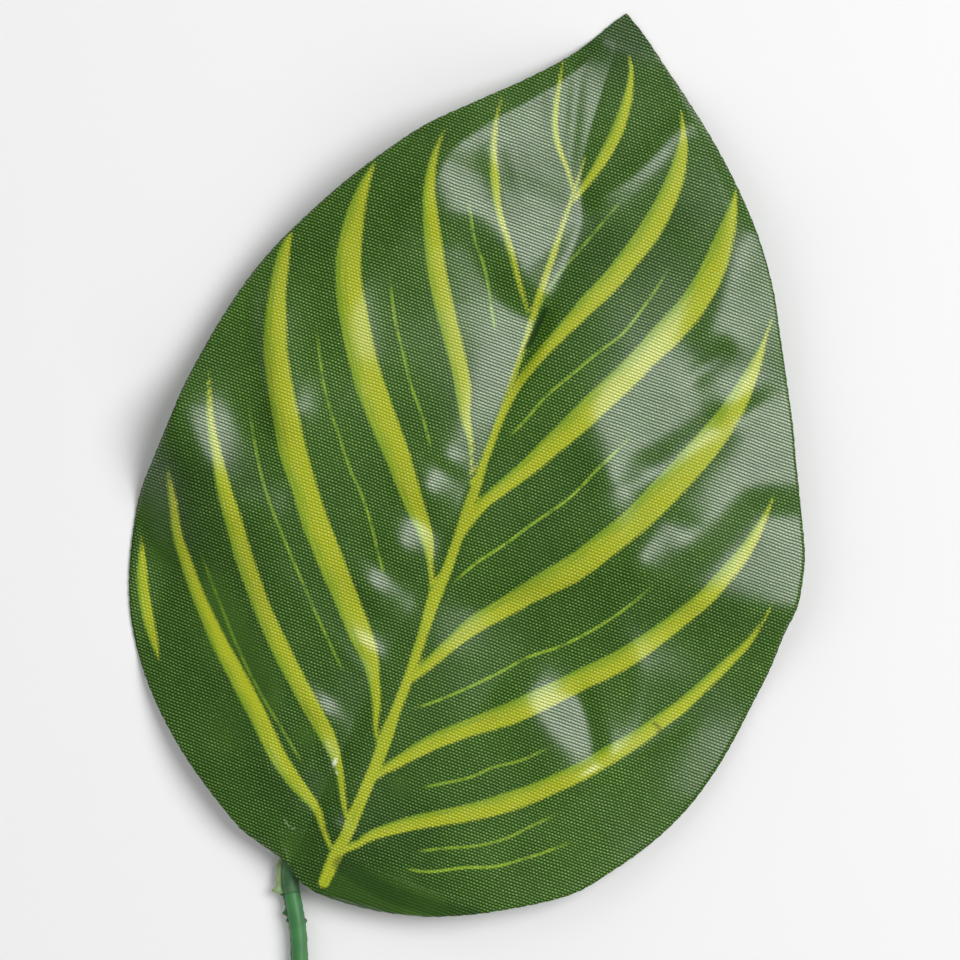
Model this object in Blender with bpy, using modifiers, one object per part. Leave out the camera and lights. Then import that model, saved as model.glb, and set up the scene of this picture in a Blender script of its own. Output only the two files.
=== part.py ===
"""An artificial zebra calathea leaf: a printed cloth blade on a moulded rib skeleton, with its stem.

The leaf lies print up. Sizes are millimetres in the leaf's own frame, which has the blade's base at
(0, 0) and its tip at (0, BLADE_LENGTH); to_part() moves them to the part's frame and to metres.
"""

import math

import bmesh
import bpy
import numpy as np
from mathutils import Vector
from mathutils.bvhtree import BVHTree
from mathutils.geometry import delaunay_2d_cdt

MM = 0.001

# Driving sizes, in millimetres
BLADE_LENGTH = 160.0
BLADE_THICK = 0.8
CLOTH_STEP = 3.5  # spacing of the blade's triangles
GAP = 0.3  # between pieces that touch
MIDRIB_WIDTH = (2.6, 1.1)  # at the collar, at the tip
MIDRIB_DEPTH = (2.0, 0.8)
SIDE_RIB_WIDTH = (1.5, 0.8)
SIDE_RIB_DEPTH = (1.2, 0.7)
COLLAR_DIAMETER = 3.1
COLLAR_BORE = 2.1
COLLAR_LENGTH = 8.0
COLLAR_FLASH = 0.9  # how far the moulding flash on the collar's left side stands out
STEM_DIAMETER = 2.8
PEG_DIAMETER = 1.4
PEG_LENGTH = 4.2
FLASH_REACH = 0.75  # the furthest a tooth of moulding flash stands out
WIRE_DIAMETER = 1.0
WIRE_BORE = 1.6
WIRE_START = 12.0  # along the stem's axis, from its start inside the collar
STEM_HEIGHT = 2.05  # of the stem's axis above the surface it lies over

# Half of the blade's outline each: (distance from base to tip, distance from the axis)
LEFT_MARGIN = [
    (0, 0), (1, 5.0), (4, 10.5), (7, 18.5), (14, 28.8), (27, 42.4), (41, 49.5), (55, 52.0), (68, 51.0),
    (82, 49.6), (95, 46.4), (109, 40.3), (123, 31.6), (137, 19.2), (144, 12.0), (150, 6.4), (156, 2.4),
    (160, 0),
]
RIGHT_MARGIN = [
    (0, 0), (1, 12.5), (4, 23.5), (7, 28.7), (14, 40.2), (27, 50.6), (41, 56.6), (55, 59.2), (68, 60.2),
    (75, 60.6), (82, 59.0), (95, 53.0), (109, 46.3), (123, 39.0), (137, 28.2), (150, 13.5), (157, 4.6),
    (160, 0),
]
# The groove over the midrib, which wanders from the printed one: (along, across)
MIDRIB_LINE = [
    (0, -6.8), (15, -5.6), (30, -4.3), (46, -2.6), (62, -0.4), (80, 1.5), (100, 3.2), (115, 4.2),
    (128, 4.0), (142, 2.0), (152, 0.4), (160, 0.0),
]

# Heights above the surface, along the leaf: the groove, each half's crest, and each margin
GROOVE_HEIGHT = [
    (0, 4.6), (12, 6.0), (30, 7.0), (55, 7.8), (80, 8.0), (104, 8.2), (118, 8.0), (132, 6.0), (148, 2.2),
    (156, 0.1), (160, -1.0),
]
LEFT_CREST = [
    (0, 4.9), (12, 7.6), (30, 9.2), (60, 10.4), (78, 10.8), (90, 12.0), (104, 12.2), (120, 11.0),
    (135, 7.4), (148, 2.9), (156, 0.2), (160, -1.0),
]
RIGHT_CREST = [
    (0, 5.2), (12, 8.0), (30, 10.2), (60, 11.6), (90, 12.6), (110, 13.0), (130, 10.4), (146, 4.6),
    (156, 0.3), (160, -1.0),
]
LEFT_EDGE = [
    (0, 4.5), (8, 4.6), (20, 2.4), (31, -0.6), (44, -4.2), (58, -1.2), (75, 2.6), (95, 4.6), (115, 5.8),
    (130, 5.4), (142, 3.2), (150, 0.2), (160, -1.6),
]
RIGHT_EDGE = [
    (0, 4.5), (8, 5.4), (20, 3.8), (34, -0.2), (49, -4.2), (62, -0.4), (75, 4.2), (95, 4.6), (110, 6.0),
    (122, 7.6), (132, 8.0), (142, 5.0), (151, 0.6), (160, -1.6),
]
LEFT_CREST_AT = [(0, 0.45), (105, 0.45), (125, 0.6), (160, 0.6)]  # share of the way out to the margin
RIGHT_CREST_AT = [
    (0, 0.5), (30, 0.62), (60, 0.6), (76, 0.45), (84, 0.32), (95, 0.4), (105, 0.5), (115, 0.7),
    (128, 0.86), (160, 0.9),
]
GROOVE_REACH = 8.0  # how far the groove's flanks go before the half levels out

# Folds: points along the crest, height, width on its left and on its right, sharpness, rise and fall
FOLDS = [
    ([(4, 103), (-1, 107), (-6, 112), (-12, 118.5), (-19, 120), (-26, 119)], 1.9, 4.2, 12, 1.25, 0.15, 0.3),
    ([(12, 81), (16, 88), (21, 98), (25, 110), (26, 120)], 1.5, 7, 9, 1.4, 0.12, 0.3),
    ([(26, 89), (32, 100), (38, 108.5), (46, 116)], 1.7, 3.2, 5.5, 1.3, 0.15, 0.15),
    ([(33, 73), (37, 84), (41, 95), (45, 106)], 1.7, 4, 5, 1.3, 0.1, 0.3),
    ([(34, 71.2), (42, 69.8), (50, 69.6), (60, 71)], 1.7, 10, 4.5, 1.3, 0.12, 0.05),
    ([(30, 104), (32, 115), (34, 128)], 1.2, 4, 7, 1.4, 0.2, 0.2),
    ([(12, 47), (25, 40), (39, 33)], 1.7, 8, 8, 1.6, 0.25, 0.06),
    ([(-1, 52), (12, 60), (26, 71.5), (32, 76)], 0.9, 8, 7, 1.5, 0.15, 0.15),
    ([(-52, 66), (-44, 61.5), (-36, 57)], 2.0, 7, 6, 1.5, 0.1, 0.3),
]

# Side ribs of the skeleton, from the midrib outwards: (across, along)
SIDE_RIBS = [
    [(-5.2, 20), (-14, 27), (-26, 35.5), (-36, 46)],
    [(-3.4, 38), (-14, 44), (-29, 54), (-39, 67)],
    [(-0.6, 60), (-13, 67), (-27, 77), (-36, 91)],
    [(1.6, 82), (-9, 90), (-21, 101), (-28, 113)],
    [(3.3, 102), (-7, 112), (-14, 121), (-18, 130)],
    [(-5.7, 13), (18, 21), (36, 33), (47, 46)],
    [(-3.4, 38), (6, 41), (21, 48), (36, 58), (45, 67)],
    [(-0.9, 57), (14, 61), (30, 69), (42, 80)],
    [(1.2, 77), (15, 82), (29, 92), (38, 106)],
    [(3.5, 100), (13, 106), (21, 116), (25, 127)],
    [(4.1, 122), (9, 129), (13, 137), (15, 143)],
]

# The stem's axis on the surface, from inside the collar to its cut end: (across, along)
COLLAR_START = (-7.0, 6.2)
STEM_AXIS = [
    (-6.75, 3.4), (-6.1, 0.6), (-4.55, -2.5), (-2.8, -5.6), (-1.45, -8.4), (-0.1, -11.8), (1.9, -17.0),
    (4.3, -25.0), (6.0, -36.0), (5.6, -48.0), (3.0, -61.0),
]
NECK = [(-6.1, 11.4, 3.4), (-6.7, 8.8, 2.6)]  # where the collar runs up into the midrib
NECK_DIAMETERS = [2.2, 2.8]


def to_part(x, y, z):
    """A point of the leaf's frame in the part's frame, in metres."""
    return Vector(((x - CENTRE_X) * MM, (y - CENTRE_Y) * MM, z * MM))


def smooth_table(table, where):
    """Values along a table of (position, value), joined by a curve that doesn't overshoot."""
    at = np.array([row[0] for row in table], float)
    value = np.array([row[1] for row in table], float)
    span = np.diff(at)
    slope = np.diff(value) / span
    turn = np.zeros(len(at))
    same_way = slope[:-1] * slope[1:] > 0
    safe = np.where(same_way, slope[:-1] + slope[1:], 1.0)
    turn[1:-1] = np.where(same_way, 2 * slope[:-1] * slope[1:] / safe, 0.0)
    turn[0] = slope[0]
    turn[-1] = slope[-1]
    k = np.clip(np.searchsorted(at, where) - 1, 0, len(span) - 1)
    t = np.clip((where - at[k]) / span[k], 0, 1)
    start = (2 * t**3 - 3 * t**2 + 1) * value[k] + (t**3 - 2 * t**2 + t) * span[k] * turn[k]
    end = (3 * t**2 - 2 * t**3) * value[k + 1] + (t**3 - t**2) * span[k] * turn[k + 1]
    return start + end


def smooth_path(points, step):
    """Points about one step apart on a smooth curve through the given ones."""
    p = np.array(points, float)
    p = np.vstack([2 * p[0] - p[1], p, 2 * p[-1] - p[-2]])
    out = []
    for a, b, c, d in zip(p[:-3], p[1:-2], p[2:-1], p[3:]):
        count = max(1, round(float(np.linalg.norm(c - b)) / step))
        t = (np.arange(count) / count)[:, None]
        bend = (2 * a - 5 * b + 4 * c - d) * t**2 + (3 * b - a - 3 * c + d) * t**3
        out.append(0.5 * (2 * b + (c - a) * t + bend))
    out.append(p[-2:-1])
    return np.vstack(out)


def beside_path(path, x, y):
    """How far each point lies to the left of a path (negative on its right), and its share along it."""
    best = np.full(np.shape(x), 1e9)
    side = np.ones(np.shape(x))
    share = np.zeros(np.shape(x))
    legs = np.diff(path, axis=0)
    lengths = np.hypot(legs[:, 0], legs[:, 1])
    done = 0.0
    for corner, leg, length in zip(path, legs, lengths):
        across = x - corner[0]
        along = y - corner[1]
        t = np.clip((across * leg[0] + along * leg[1]) / length**2, 0, 1)
        away = np.hypot(across - t * leg[0], along - t * leg[1])
        nearer = away < best
        best = np.where(nearer, away, best)
        side = np.where(nearer, np.where(leg[0] * along - leg[1] * across < 0, -1.0, 1.0), side)
        share = np.where(nearer, (done + t * length) / lengths.sum(), share)
        done += length
    return best * side, share


def ease(t):
    t = np.clip(t, 0, 1)
    return t * t * (3 - 2 * t)


def fold_height(x, y, fold):
    points, height, left, right, sharpness, rise, fall = fold
    away, share = beside_path(smooth_path(points, 1.5), x, y)
    width = np.where(away > 0, left, right)
    ends = ease(share / rise) * ease((1 - share) / fall)
    return height * np.exp(-((np.abs(away) / width) ** sharpness)) * ends


def arch_height(x, y):
    """Each half arches from the midrib's groove over its crest and down to its margin."""
    groove_x = smooth_table(MIDRIB_LINE, y)
    left = x < groove_x
    width = np.where(left, smooth_table(LEFT_MARGIN, y) + groove_x, smooth_table(RIGHT_MARGIN, y) - groove_x)
    width = np.maximum(width, 1.0)
    out = np.abs(x - groove_x)
    share = np.clip(out / width, 0, 1.15)
    groove = smooth_table(GROOVE_HEIGHT, y)
    crest = np.where(left, smooth_table(LEFT_CREST, y), smooth_table(RIGHT_CREST, y))
    edge = np.where(left, smooth_table(LEFT_EDGE, y), smooth_table(RIGHT_EDGE, y))
    crest_at = np.where(left, smooth_table(LEFT_CREST_AT, y), smooth_table(RIGHT_CREST_AT, y))
    flank = 0.55 * (1 - np.exp(-out / GROOVE_REACH)) + 0.45 * np.sin(math.pi / 2 * np.clip(share / crest_at, 0, 1))
    whole = 0.55 * (1 - np.exp(-crest_at * width / GROOVE_REACH)) + 0.45
    inner = groove + (crest - groove) * flank / whole
    fall = np.cos(math.pi / 2 * np.clip((share - crest_at) / (1 - crest_at), 0, 1.2))
    outer = edge + (crest - edge) * fall
    return np.where(share < crest_at, inner, outer)


def blade_height(x, y):
    """The middle of the cloth. It lies flat on the surface at both margins and at the tip."""
    height = arch_height(x, y)
    for fold in FOLDS:
        height = height + fold_height(x, y, fold)
    return np.maximum(height, BLADE_THICK / 2)


def blade_outline(step):
    """The margin, once round from the base, as points about one step apart."""
    along = BLADE_LENGTH * 0.5 * (1 - np.cos(np.linspace(0, math.pi, 400)))
    right = np.column_stack([smooth_table(RIGHT_MARGIN, along), along])
    left = np.column_stack([-smooth_table(LEFT_MARGIN, along), along])[::-1]
    loop = np.vstack([right, left[1:]])
    travelled = np.concatenate([[0], np.cumsum(np.hypot(*np.diff(loop, axis=0).T))])
    at = np.linspace(0, travelled[-1], round(travelled[-1] / step) + 1)[:-1]
    return np.column_stack([np.interp(at, travelled, loop[:, 0]), np.interp(at, travelled, loop[:, 1])])


def inside_margin(x, y, inset):
    right = smooth_table(RIGHT_MARGIN, y)
    left = -smooth_table(LEFT_MARGIN, y)
    slack = inset * 1.25
    return (x > left + slack) & (x < right - slack) & (y > inset) & (y < BLADE_LENGTH - 2 * inset)


def clear_of(points, others, distance):
    """The points that lie at least this far from all of the others."""
    apart = np.hypot(points[:, None, 0] - others[None, :, 0], points[:, None, 1] - others[None, :, 1])
    return points[apart.min(axis=1) > distance]


def cloth_points():
    """Margin, groove and an even triangular lattice between them."""
    margin = blade_outline(CLOTH_STEP)
    along = np.arange(4.5, BLADE_LENGTH - 4, CLOTH_STEP)
    groove = np.column_stack([smooth_table(MIDRIB_LINE, along), along])
    groove = clear_of(groove, margin, 0.5 * CLOTH_STEP)
    row_step = CLOTH_STEP * math.sqrt(3) / 2
    rows = np.arange(0, BLADE_LENGTH, row_step)
    lattice = []
    for number, y in enumerate(rows):
        shift = CLOTH_STEP / 2 * (number % 2)
        columns = np.arange(-60, 66, CLOTH_STEP) + shift
        lattice.append(np.column_stack([columns, np.full(len(columns), y)]))
    lattice = np.vstack(lattice)
    lattice = lattice[inside_margin(lattice[:, 0], lattice[:, 1], 0.3 * CLOTH_STEP)]
    lattice = clear_of(lattice, margin, 0.62 * CLOTH_STEP)
    lattice = clear_of(lattice, groove, 0.62 * CLOTH_STEP)
    return margin, groove, lattice


def new_material(name, colour, roughness):
    material = bpy.data.materials.new(name)
    material.use_nodes = True
    shader = material.node_tree.nodes["Principled BSDF"]
    shader.inputs["Base Color"].default_value = (*colour, 1.0)
    shader.inputs["Roughness"].default_value = roughness
    shader.inputs["Metallic"].default_value = 0.0
    return material


def add_object(name, mesh, material, collection):
    made = bpy.data.objects.new(name, mesh)
    collection.objects.link(made)
    mesh.materials.append(material)
    return made


def mesh_of(name, vertices, faces):
    mesh = bpy.data.meshes.new(name)
    mesh.from_pydata([tuple(v) for v in vertices], [], [tuple(f) for f in faces])
    mesh.validate()
    return mesh


def make_blade(material, collection):
    """The cloth as an open surface in triangles, given its thickness by Solidify."""
    margin, groove, lattice = cloth_points()
    flat = np.vstack([margin, groove, lattice])
    first = len(margin)
    creases = [(first + i, first + i + 1) for i in range(len(groove) - 1)]
    loop = list(range(len(margin)))
    points, _, faces, _, _, _ = delaunay_2d_cdt([Vector(p) for p in flat], creases, [loop], 1, 1e-5)
    x = np.array([p.x for p in points])
    y = np.array([p.y for p in points])
    z = blade_height(x, y)
    mesh = mesh_of("leaf_blade", [to_part(*p) for p in zip(x, y, z)], faces)
    shape = bmesh.new()
    shape.from_mesh(mesh)
    bmesh.ops.recalc_face_normals(shape, faces=shape.faces[:])
    if sum(face.normal.z for face in shape.faces) < 0:
        bmesh.ops.reverse_faces(shape, faces=shape.faces[:])
    shape.to_mesh(mesh)
    shape.free()
    blade = add_object("leaf_blade", mesh, material, collection)
    solidify = blade.modifiers.new("cloth thickness", "SOLIDIFY")
    solidify.thickness = BLADE_THICK * MM
    solidify.offset = 0.0
    solidify.use_even_offset = False
    mesh.shade_smooth()
    return blade


def tree_of(made):
    bpy.context.view_layer.update()
    return BVHTree.FromObject(made, bpy.context.evaluated_depsgraph_get())


def underside(tree, x, y):
    """The height of the blade's lower face over a point, in millimetres, or None beside the blade."""
    start = to_part(x, y, -20)
    hit = tree.ray_cast(start, Vector((0, 0, 1)))[0]
    return None if hit is None else hit.z / MM


def lowest_over(tree, x, y, reach):
    """The lowest of the lower face within a rib's half width."""
    found = []
    for turn in range(8):
        angle = turn * math.pi / 4
        found.append(underside(tree, x + reach * math.cos(angle), y + reach * math.sin(angle)))
    found.append(underside(tree, x, y))
    found = [height for height in found if height is not None]
    return min(found) if found else None


def sweep(name, centres, sections):
    """A closed tube through rings of points: centres and each ring's own (sideways, up) points."""
    vertices = []
    faces = []
    count = len(sections[0])
    for index, (centre, section) in enumerate(zip(centres, sections)):
        before = centres[max(index - 1, 0)]
        after = centres[min(index + 1, len(centres) - 1)]
        run = Vector((after[0] - before[0], after[1] - before[1], after[2] - before[2])).normalized()
        side = run.cross(Vector((0, 0, 1))).normalized()
        up = side.cross(run)
        for across, above in section:
            point = Vector(centre) + side * across + up * above
            vertices.append(to_part(*point))
    for ring in range(len(centres) - 1):
        for k in range(count):
            a = ring * count + k
            b = ring * count + (k + 1) % count
            faces.append((a, b, b + count, a + count))
    faces.append(tuple(range(count))[::-1])
    last = (len(centres) - 1) * count
    faces.append(tuple(last + k for k in range(count)))
    mesh = mesh_of(name, vertices, faces)
    shape = bmesh.new()
    shape.from_mesh(mesh)
    bmesh.ops.recalc_face_normals(shape, faces=shape.faces[:])
    bmesh.ops.triangulate(shape, faces=shape.faces[:])
    shape.to_mesh(mesh)
    shape.free()
    return mesh


def rib_section(width, depth):
    """Flat on top, where the cloth is bonded, and rounded below."""
    half = width / 2
    return [(-half, 0), (half, 0), (0.85 * half, -0.55 * depth), (0.4 * half, -depth), (-0.4 * half, -depth),
            (-0.85 * half, -0.55 * depth)]


def round_section(diameter, sides):
    turns = [2 * math.pi * k / sides for k in range(sides)]
    return [(diameter / 2 * math.cos(t), diameter / 2 * math.sin(t)) for t in turns]


def rib_mesh(name, tree, line, widths, depths, sink):
    """A rib that follows the underside of the blade, tapering outwards."""
    centres = []
    sections = []
    for index, (x, y) in enumerate(line):
        share = index / (len(line) - 1)
        width = widths[0] + (widths[1] - widths[0]) * share
        depth = depths[0] + (depths[1] - depths[0]) * share
        over = lowest_over(tree, x, y, 0.75 * width)
        centres.append((x, y, over - GAP - (sink if index == 0 else 0.0)))
        sections.append(rib_section(width, depth))
    return sweep(name, centres, sections)


def helper_object(name, mesh, collection):
    made = bpy.data.objects.new(name, mesh)
    collection.objects.link(made)
    made.hide_render = True
    made.display_type = "WIRE"
    return made


def add_boolean(target, name, operation, other=None, group=None):
    modifier = target.modifiers.new(name, "BOOLEAN")
    modifier.operation = operation
    modifier.solver = "EXACT"
    if group is None:
        modifier.object = other
    else:
        modifier.operand_type = "COLLECTION"
        modifier.collection = group
    return modifier


def apply_modifiers(made):
    """Keeps the evaluated mesh and drops the modifiers."""
    bpy.context.view_layer.update()
    evaluated = made.evaluated_get(bpy.context.evaluated_depsgraph_get())
    mesh = bpy.data.meshes.new_from_object(evaluated)
    mesh.name = made.name
    made.modifiers.clear()
    made.data = mesh


def stem_axis(start, end, step):
    """Points of the stem's axis between two distances from its start inside the collar."""
    line = smooth_path([COLLAR_START] + STEM_AXIS, 0.5)
    last = line[-1] + 4 * (line[-1] - line[-2])
    line = np.vstack([line, last])
    travelled = np.concatenate([[0], np.cumsum(np.hypot(*np.diff(line, axis=0).T))])
    at = np.linspace(start, end, max(2, round((end - start) / step) + 1))
    x = np.interp(at, travelled, line[:, 0])
    y = np.interp(at, travelled, line[:, 1])
    return [(px, py, STEM_HEIGHT) for px, py in zip(x, y)]


def stem_end():
    line = smooth_path([COLLAR_START] + STEM_AXIS, 0.5)
    return float(np.hypot(*np.diff(line, axis=0).T).sum())


def make_skeleton(tree, material, collection, cutters):
    """Midrib, side ribs and the collar for the stem, moulded in one."""
    along = np.arange(6.5, 153.0, 5.5)
    midrib = np.column_stack([smooth_table(MIDRIB_LINE, along), along])
    base = rib_mesh("rib_skeleton", tree, midrib, MIDRIB_WIDTH, MIDRIB_DEPTH, 0.0)
    skeleton = add_object("rib_skeleton", base, material, collection)
    branches = bpy.data.collections.new("rib branches")
    cutters.children.link(branches)
    for number, points in enumerate(SIDE_RIBS):
        line = smooth_path(points, 5.5)
        mesh = rib_mesh("branch", tree, line, SIDE_RIB_WIDTH, SIDE_RIB_DEPTH, 0.45)
        helper_object(f"branch_{number}", mesh, branches)
    collar = stem_axis(0, COLLAR_LENGTH, 2.0)
    sections = [round_section(size, 14) for size in NECK_DIAMETERS]
    for index in range(len(collar)):
        reach = COLLAR_FLASH * (0.55 if index in (0, len(collar) - 1) else 1.0)
        sections.append(stem_section(COLLAR_DIAMETER, reach, 0.0))
    helper_object("collar_body", sweep("collar", NECK + collar, sections), branches)
    add_boolean(skeleton, "join the ribs", "UNION", group=branches)
    apply_modifiers(skeleton)
    bore = stem_axis(COLLAR_LENGTH - PEG_LENGTH - 2 * GAP, COLLAR_LENGTH + 1.0, 1.2)
    cutter = sweep("bore", bore, [round_section(COLLAR_BORE, 14)] * len(bore))
    drill = helper_object("collar_bore", cutter, cutters)
    add_boolean(skeleton, "bore the collar", "DIFFERENCE", other=drill)
    apply_modifiers(skeleton)
    for helper in list(branches.objects):
        bpy.data.objects.remove(helper)
    bpy.data.collections.remove(branches)
    skeleton.data.shade_smooth()
    return skeleton


def stem_section(diameter, flash_left, flash_right):
    """Round, with a thin tooth of flash on either side where the two halves of the mould met."""
    points = []
    for k in range(14):
        angle = 2 * math.pi * k / 14
        reach = diameter / 2
        if k == 0:
            reach += flash_left
        if k == 7:
            reach += flash_right
        points.append((reach * math.cos(angle), diameter / 2 * math.sin(angle)))
    return points


def flash_at(index, side):
    """The flash's uneven reach along the stem: a rule, the same each time."""
    wave = math.sin(index * 2.4 + side * 1.7) * math.sin(index * 0.83 + side * 0.6)
    return FLASH_REACH * max(0.12, wave) * (1.0 if side == 0 else 0.65)


def make_stem(material, collection, cutters):
    """The stem from the collar's mouth to its cut end, with the peg that plugs into the collar."""
    shoulder = COLLAR_LENGTH + GAP
    centres = stem_axis(COLLAR_LENGTH - PEG_LENGTH, shoulder, 1.4)
    sections = [round_section(PEG_DIAMETER, 14)] * len(centres)
    line = stem_axis(shoulder + 0.02, stem_end(), 2.2)
    for index, centre in enumerate(line):
        centres.append(centre)
        sections.append(stem_section(STEM_DIAMETER, flash_at(index, 0), flash_at(index, 1)))
    mesh = sweep("stem", centres, sections)
    stem = add_object("stem", mesh, material, collection)
    bore = stem_axis(WIRE_START - GAP, stem_end() + 1.0, 2.2)
    cutter = sweep("wire bore", bore, [round_section(WIRE_BORE, 10)] * len(bore))
    drill = helper_object("stem_wire_bore", cutter, cutters)
    add_boolean(stem, "bore for the wire", "DIFFERENCE", other=drill)
    mesh.shade_smooth()
    return stem


def make_wire(material, collection):
    """The steel core, which ends level with the cut."""
    centres = stem_axis(WIRE_START, stem_end(), 2.2)
    mesh = sweep("stem_wire", centres, [round_section(WIRE_DIAMETER, 8)] * len(centres))
    mesh.shade_smooth()
    return add_object("stem_wire", mesh, material, collection)


def clear_scene():
    for old in list(bpy.data.objects):
        bpy.data.objects.remove(old)


def main():
    clear_scene()
    leaf = bpy.data.collections.new("calathea_leaf")
    cutters = bpy.data.collections.new("cutters")
    bpy.context.scene.collection.children.link(leaf)
    bpy.context.scene.collection.children.link(cutters)
    cutters.hide_render = True
    cloth = new_material("printed cloth", (0.045, 0.115, 0.025), 0.5)
    pale_plastic = new_material("pale green plastic", (0.28, 0.42, 0.20), 0.42)
    stem_plastic = new_material("stem green plastic", (0.08, 0.23, 0.09), 0.4)
    steel = new_material("steel wire", (0.55, 0.56, 0.55), 0.35)
    blade = make_blade(cloth, leaf)
    make_skeleton(tree_of(blade), pale_plastic, leaf, cutters)
    make_stem(stem_plastic, leaf, cutters)
    make_wire(steel, leaf)


CENTRE_X = 4.3  # the leaf's own frame to the part's frame, whose origin is under the middle of the part
CENTRE_Y = 49.5

main()
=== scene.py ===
import math
import bmesh
import bpy
import numpy as np
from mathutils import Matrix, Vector


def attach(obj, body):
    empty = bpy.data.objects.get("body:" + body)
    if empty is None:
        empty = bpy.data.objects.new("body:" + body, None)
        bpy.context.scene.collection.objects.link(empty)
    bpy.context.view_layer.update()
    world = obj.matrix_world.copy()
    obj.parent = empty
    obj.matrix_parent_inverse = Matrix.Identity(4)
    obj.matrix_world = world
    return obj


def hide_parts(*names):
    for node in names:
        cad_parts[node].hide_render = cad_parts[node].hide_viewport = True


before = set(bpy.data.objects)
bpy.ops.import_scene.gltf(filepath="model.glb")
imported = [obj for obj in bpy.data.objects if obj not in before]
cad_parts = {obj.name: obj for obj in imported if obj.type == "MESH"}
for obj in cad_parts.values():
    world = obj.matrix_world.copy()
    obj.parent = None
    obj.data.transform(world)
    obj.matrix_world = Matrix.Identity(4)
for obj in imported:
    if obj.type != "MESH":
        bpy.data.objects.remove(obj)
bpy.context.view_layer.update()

# Everything below is in millimetres in the leaf's own frame: base of the blade at (0, 0), tip at
# (0, 160), x to the right. toPart() moves that to the part's frame, in metres.
centreX, centreY = 4.3, 49.5


def toPart(points):
    return (np.asarray(points, float) - (centreX, centreY, 0.0)) * 0.001


def smoothTable(table, where):  # (position, value) rows joined without overshoot
    at = np.array([row[0] for row in table], float)
    value = np.array([row[1] for row in table], float)
    span = np.diff(at)
    slope = np.diff(value) / span
    turn = np.zeros(len(at))
    same = slope[:-1] * slope[1:] > 0
    both = np.where(same, slope[:-1] + slope[1:], 1.0)
    turn[1:-1] = np.where(same, 2 * slope[:-1] * slope[1:] / both, 0.0)
    turn[0], turn[-1] = slope[0], slope[-1]
    k = np.clip(np.searchsorted(at, where) - 1, 0, len(span) - 1)
    t = np.clip((where - at[k]) / span[k], 0, 1)
    start = (2 * t**3 - 3 * t**2 + 1) * value[k] + (t**3 - 2 * t**2 + t) * span[k] * turn[k]
    return start + (3 * t**2 - 2 * t**3) * value[k + 1] + (t**3 - t**2) * span[k] * turn[k + 1]


def smoothPath(points, step):  # points about one step apart on a curve through the given ones
    p = np.array(points, float)
    p = np.vstack([2 * p[0] - p[1], p, 2 * p[-1] - p[-2]])
    out = []
    for a, b, c, d in zip(p[:-3], p[1:-2], p[2:-1], p[3:]):
        count = max(1, round(float(np.linalg.norm(c - b)) / step))
        t = (np.arange(count) / count)[:, None]
        bend, twist = 2 * a - 5 * b + 4 * c - d, 3 * b - a - 3 * c + d
        out.append(0.5 * (2 * b + (c - a) * t + bend * t**2 + twist * t**3))
    out.append(p[-2:-1])
    return np.vstack(out)


def besidePath(path, x, y):  # distance to the left of a path, negative on its right, and share along it
    best = np.full(np.shape(x), np.inf)
    side = np.ones(np.shape(x))
    share = np.zeros(np.shape(x))
    legs = np.diff(path, axis=0)
    lengths = np.hypot(legs[:, 0], legs[:, 1])
    done = 0.0
    for corner, leg, length in zip(path, legs, lengths):
        across, along = x - corner[0], y - corner[1]
        t = np.clip((across * leg[0] + along * leg[1]) / length**2, 0, 1)
        away = np.hypot(across - t * leg[0], along - t * leg[1])
        nearer = away < best
        best = np.where(nearer, away, best)
        side = np.where(nearer, np.where(leg[0] * along - leg[1] * across < 0, -1.0, 1.0), side)
        share = np.where(nearer, (done + t * length) / lengths.sum(), share)
        done += length
    return best * side, share


def ease(t):
    t = np.clip(t, 0, 1)
    return t * t * (3 - 2 * t)


def lengthsAlong(path):  # how far each point of a path is from its start
    return np.concatenate([[0], np.cumsum(np.hypot(*np.diff(path, axis=0).T))])


def pointsAt(path, distances):
    travelled = lengthsAlong(path)
    return np.column_stack([np.interp(distances, travelled, path[:, axis]) for axis in (0, 1)])


def turned(x, y, degrees):  # a place seen from axes turned by this much
    c, s = math.cos(math.radians(degrees)), math.sin(math.radians(degrees))
    return x * c + y * s, y * c - x * s


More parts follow.
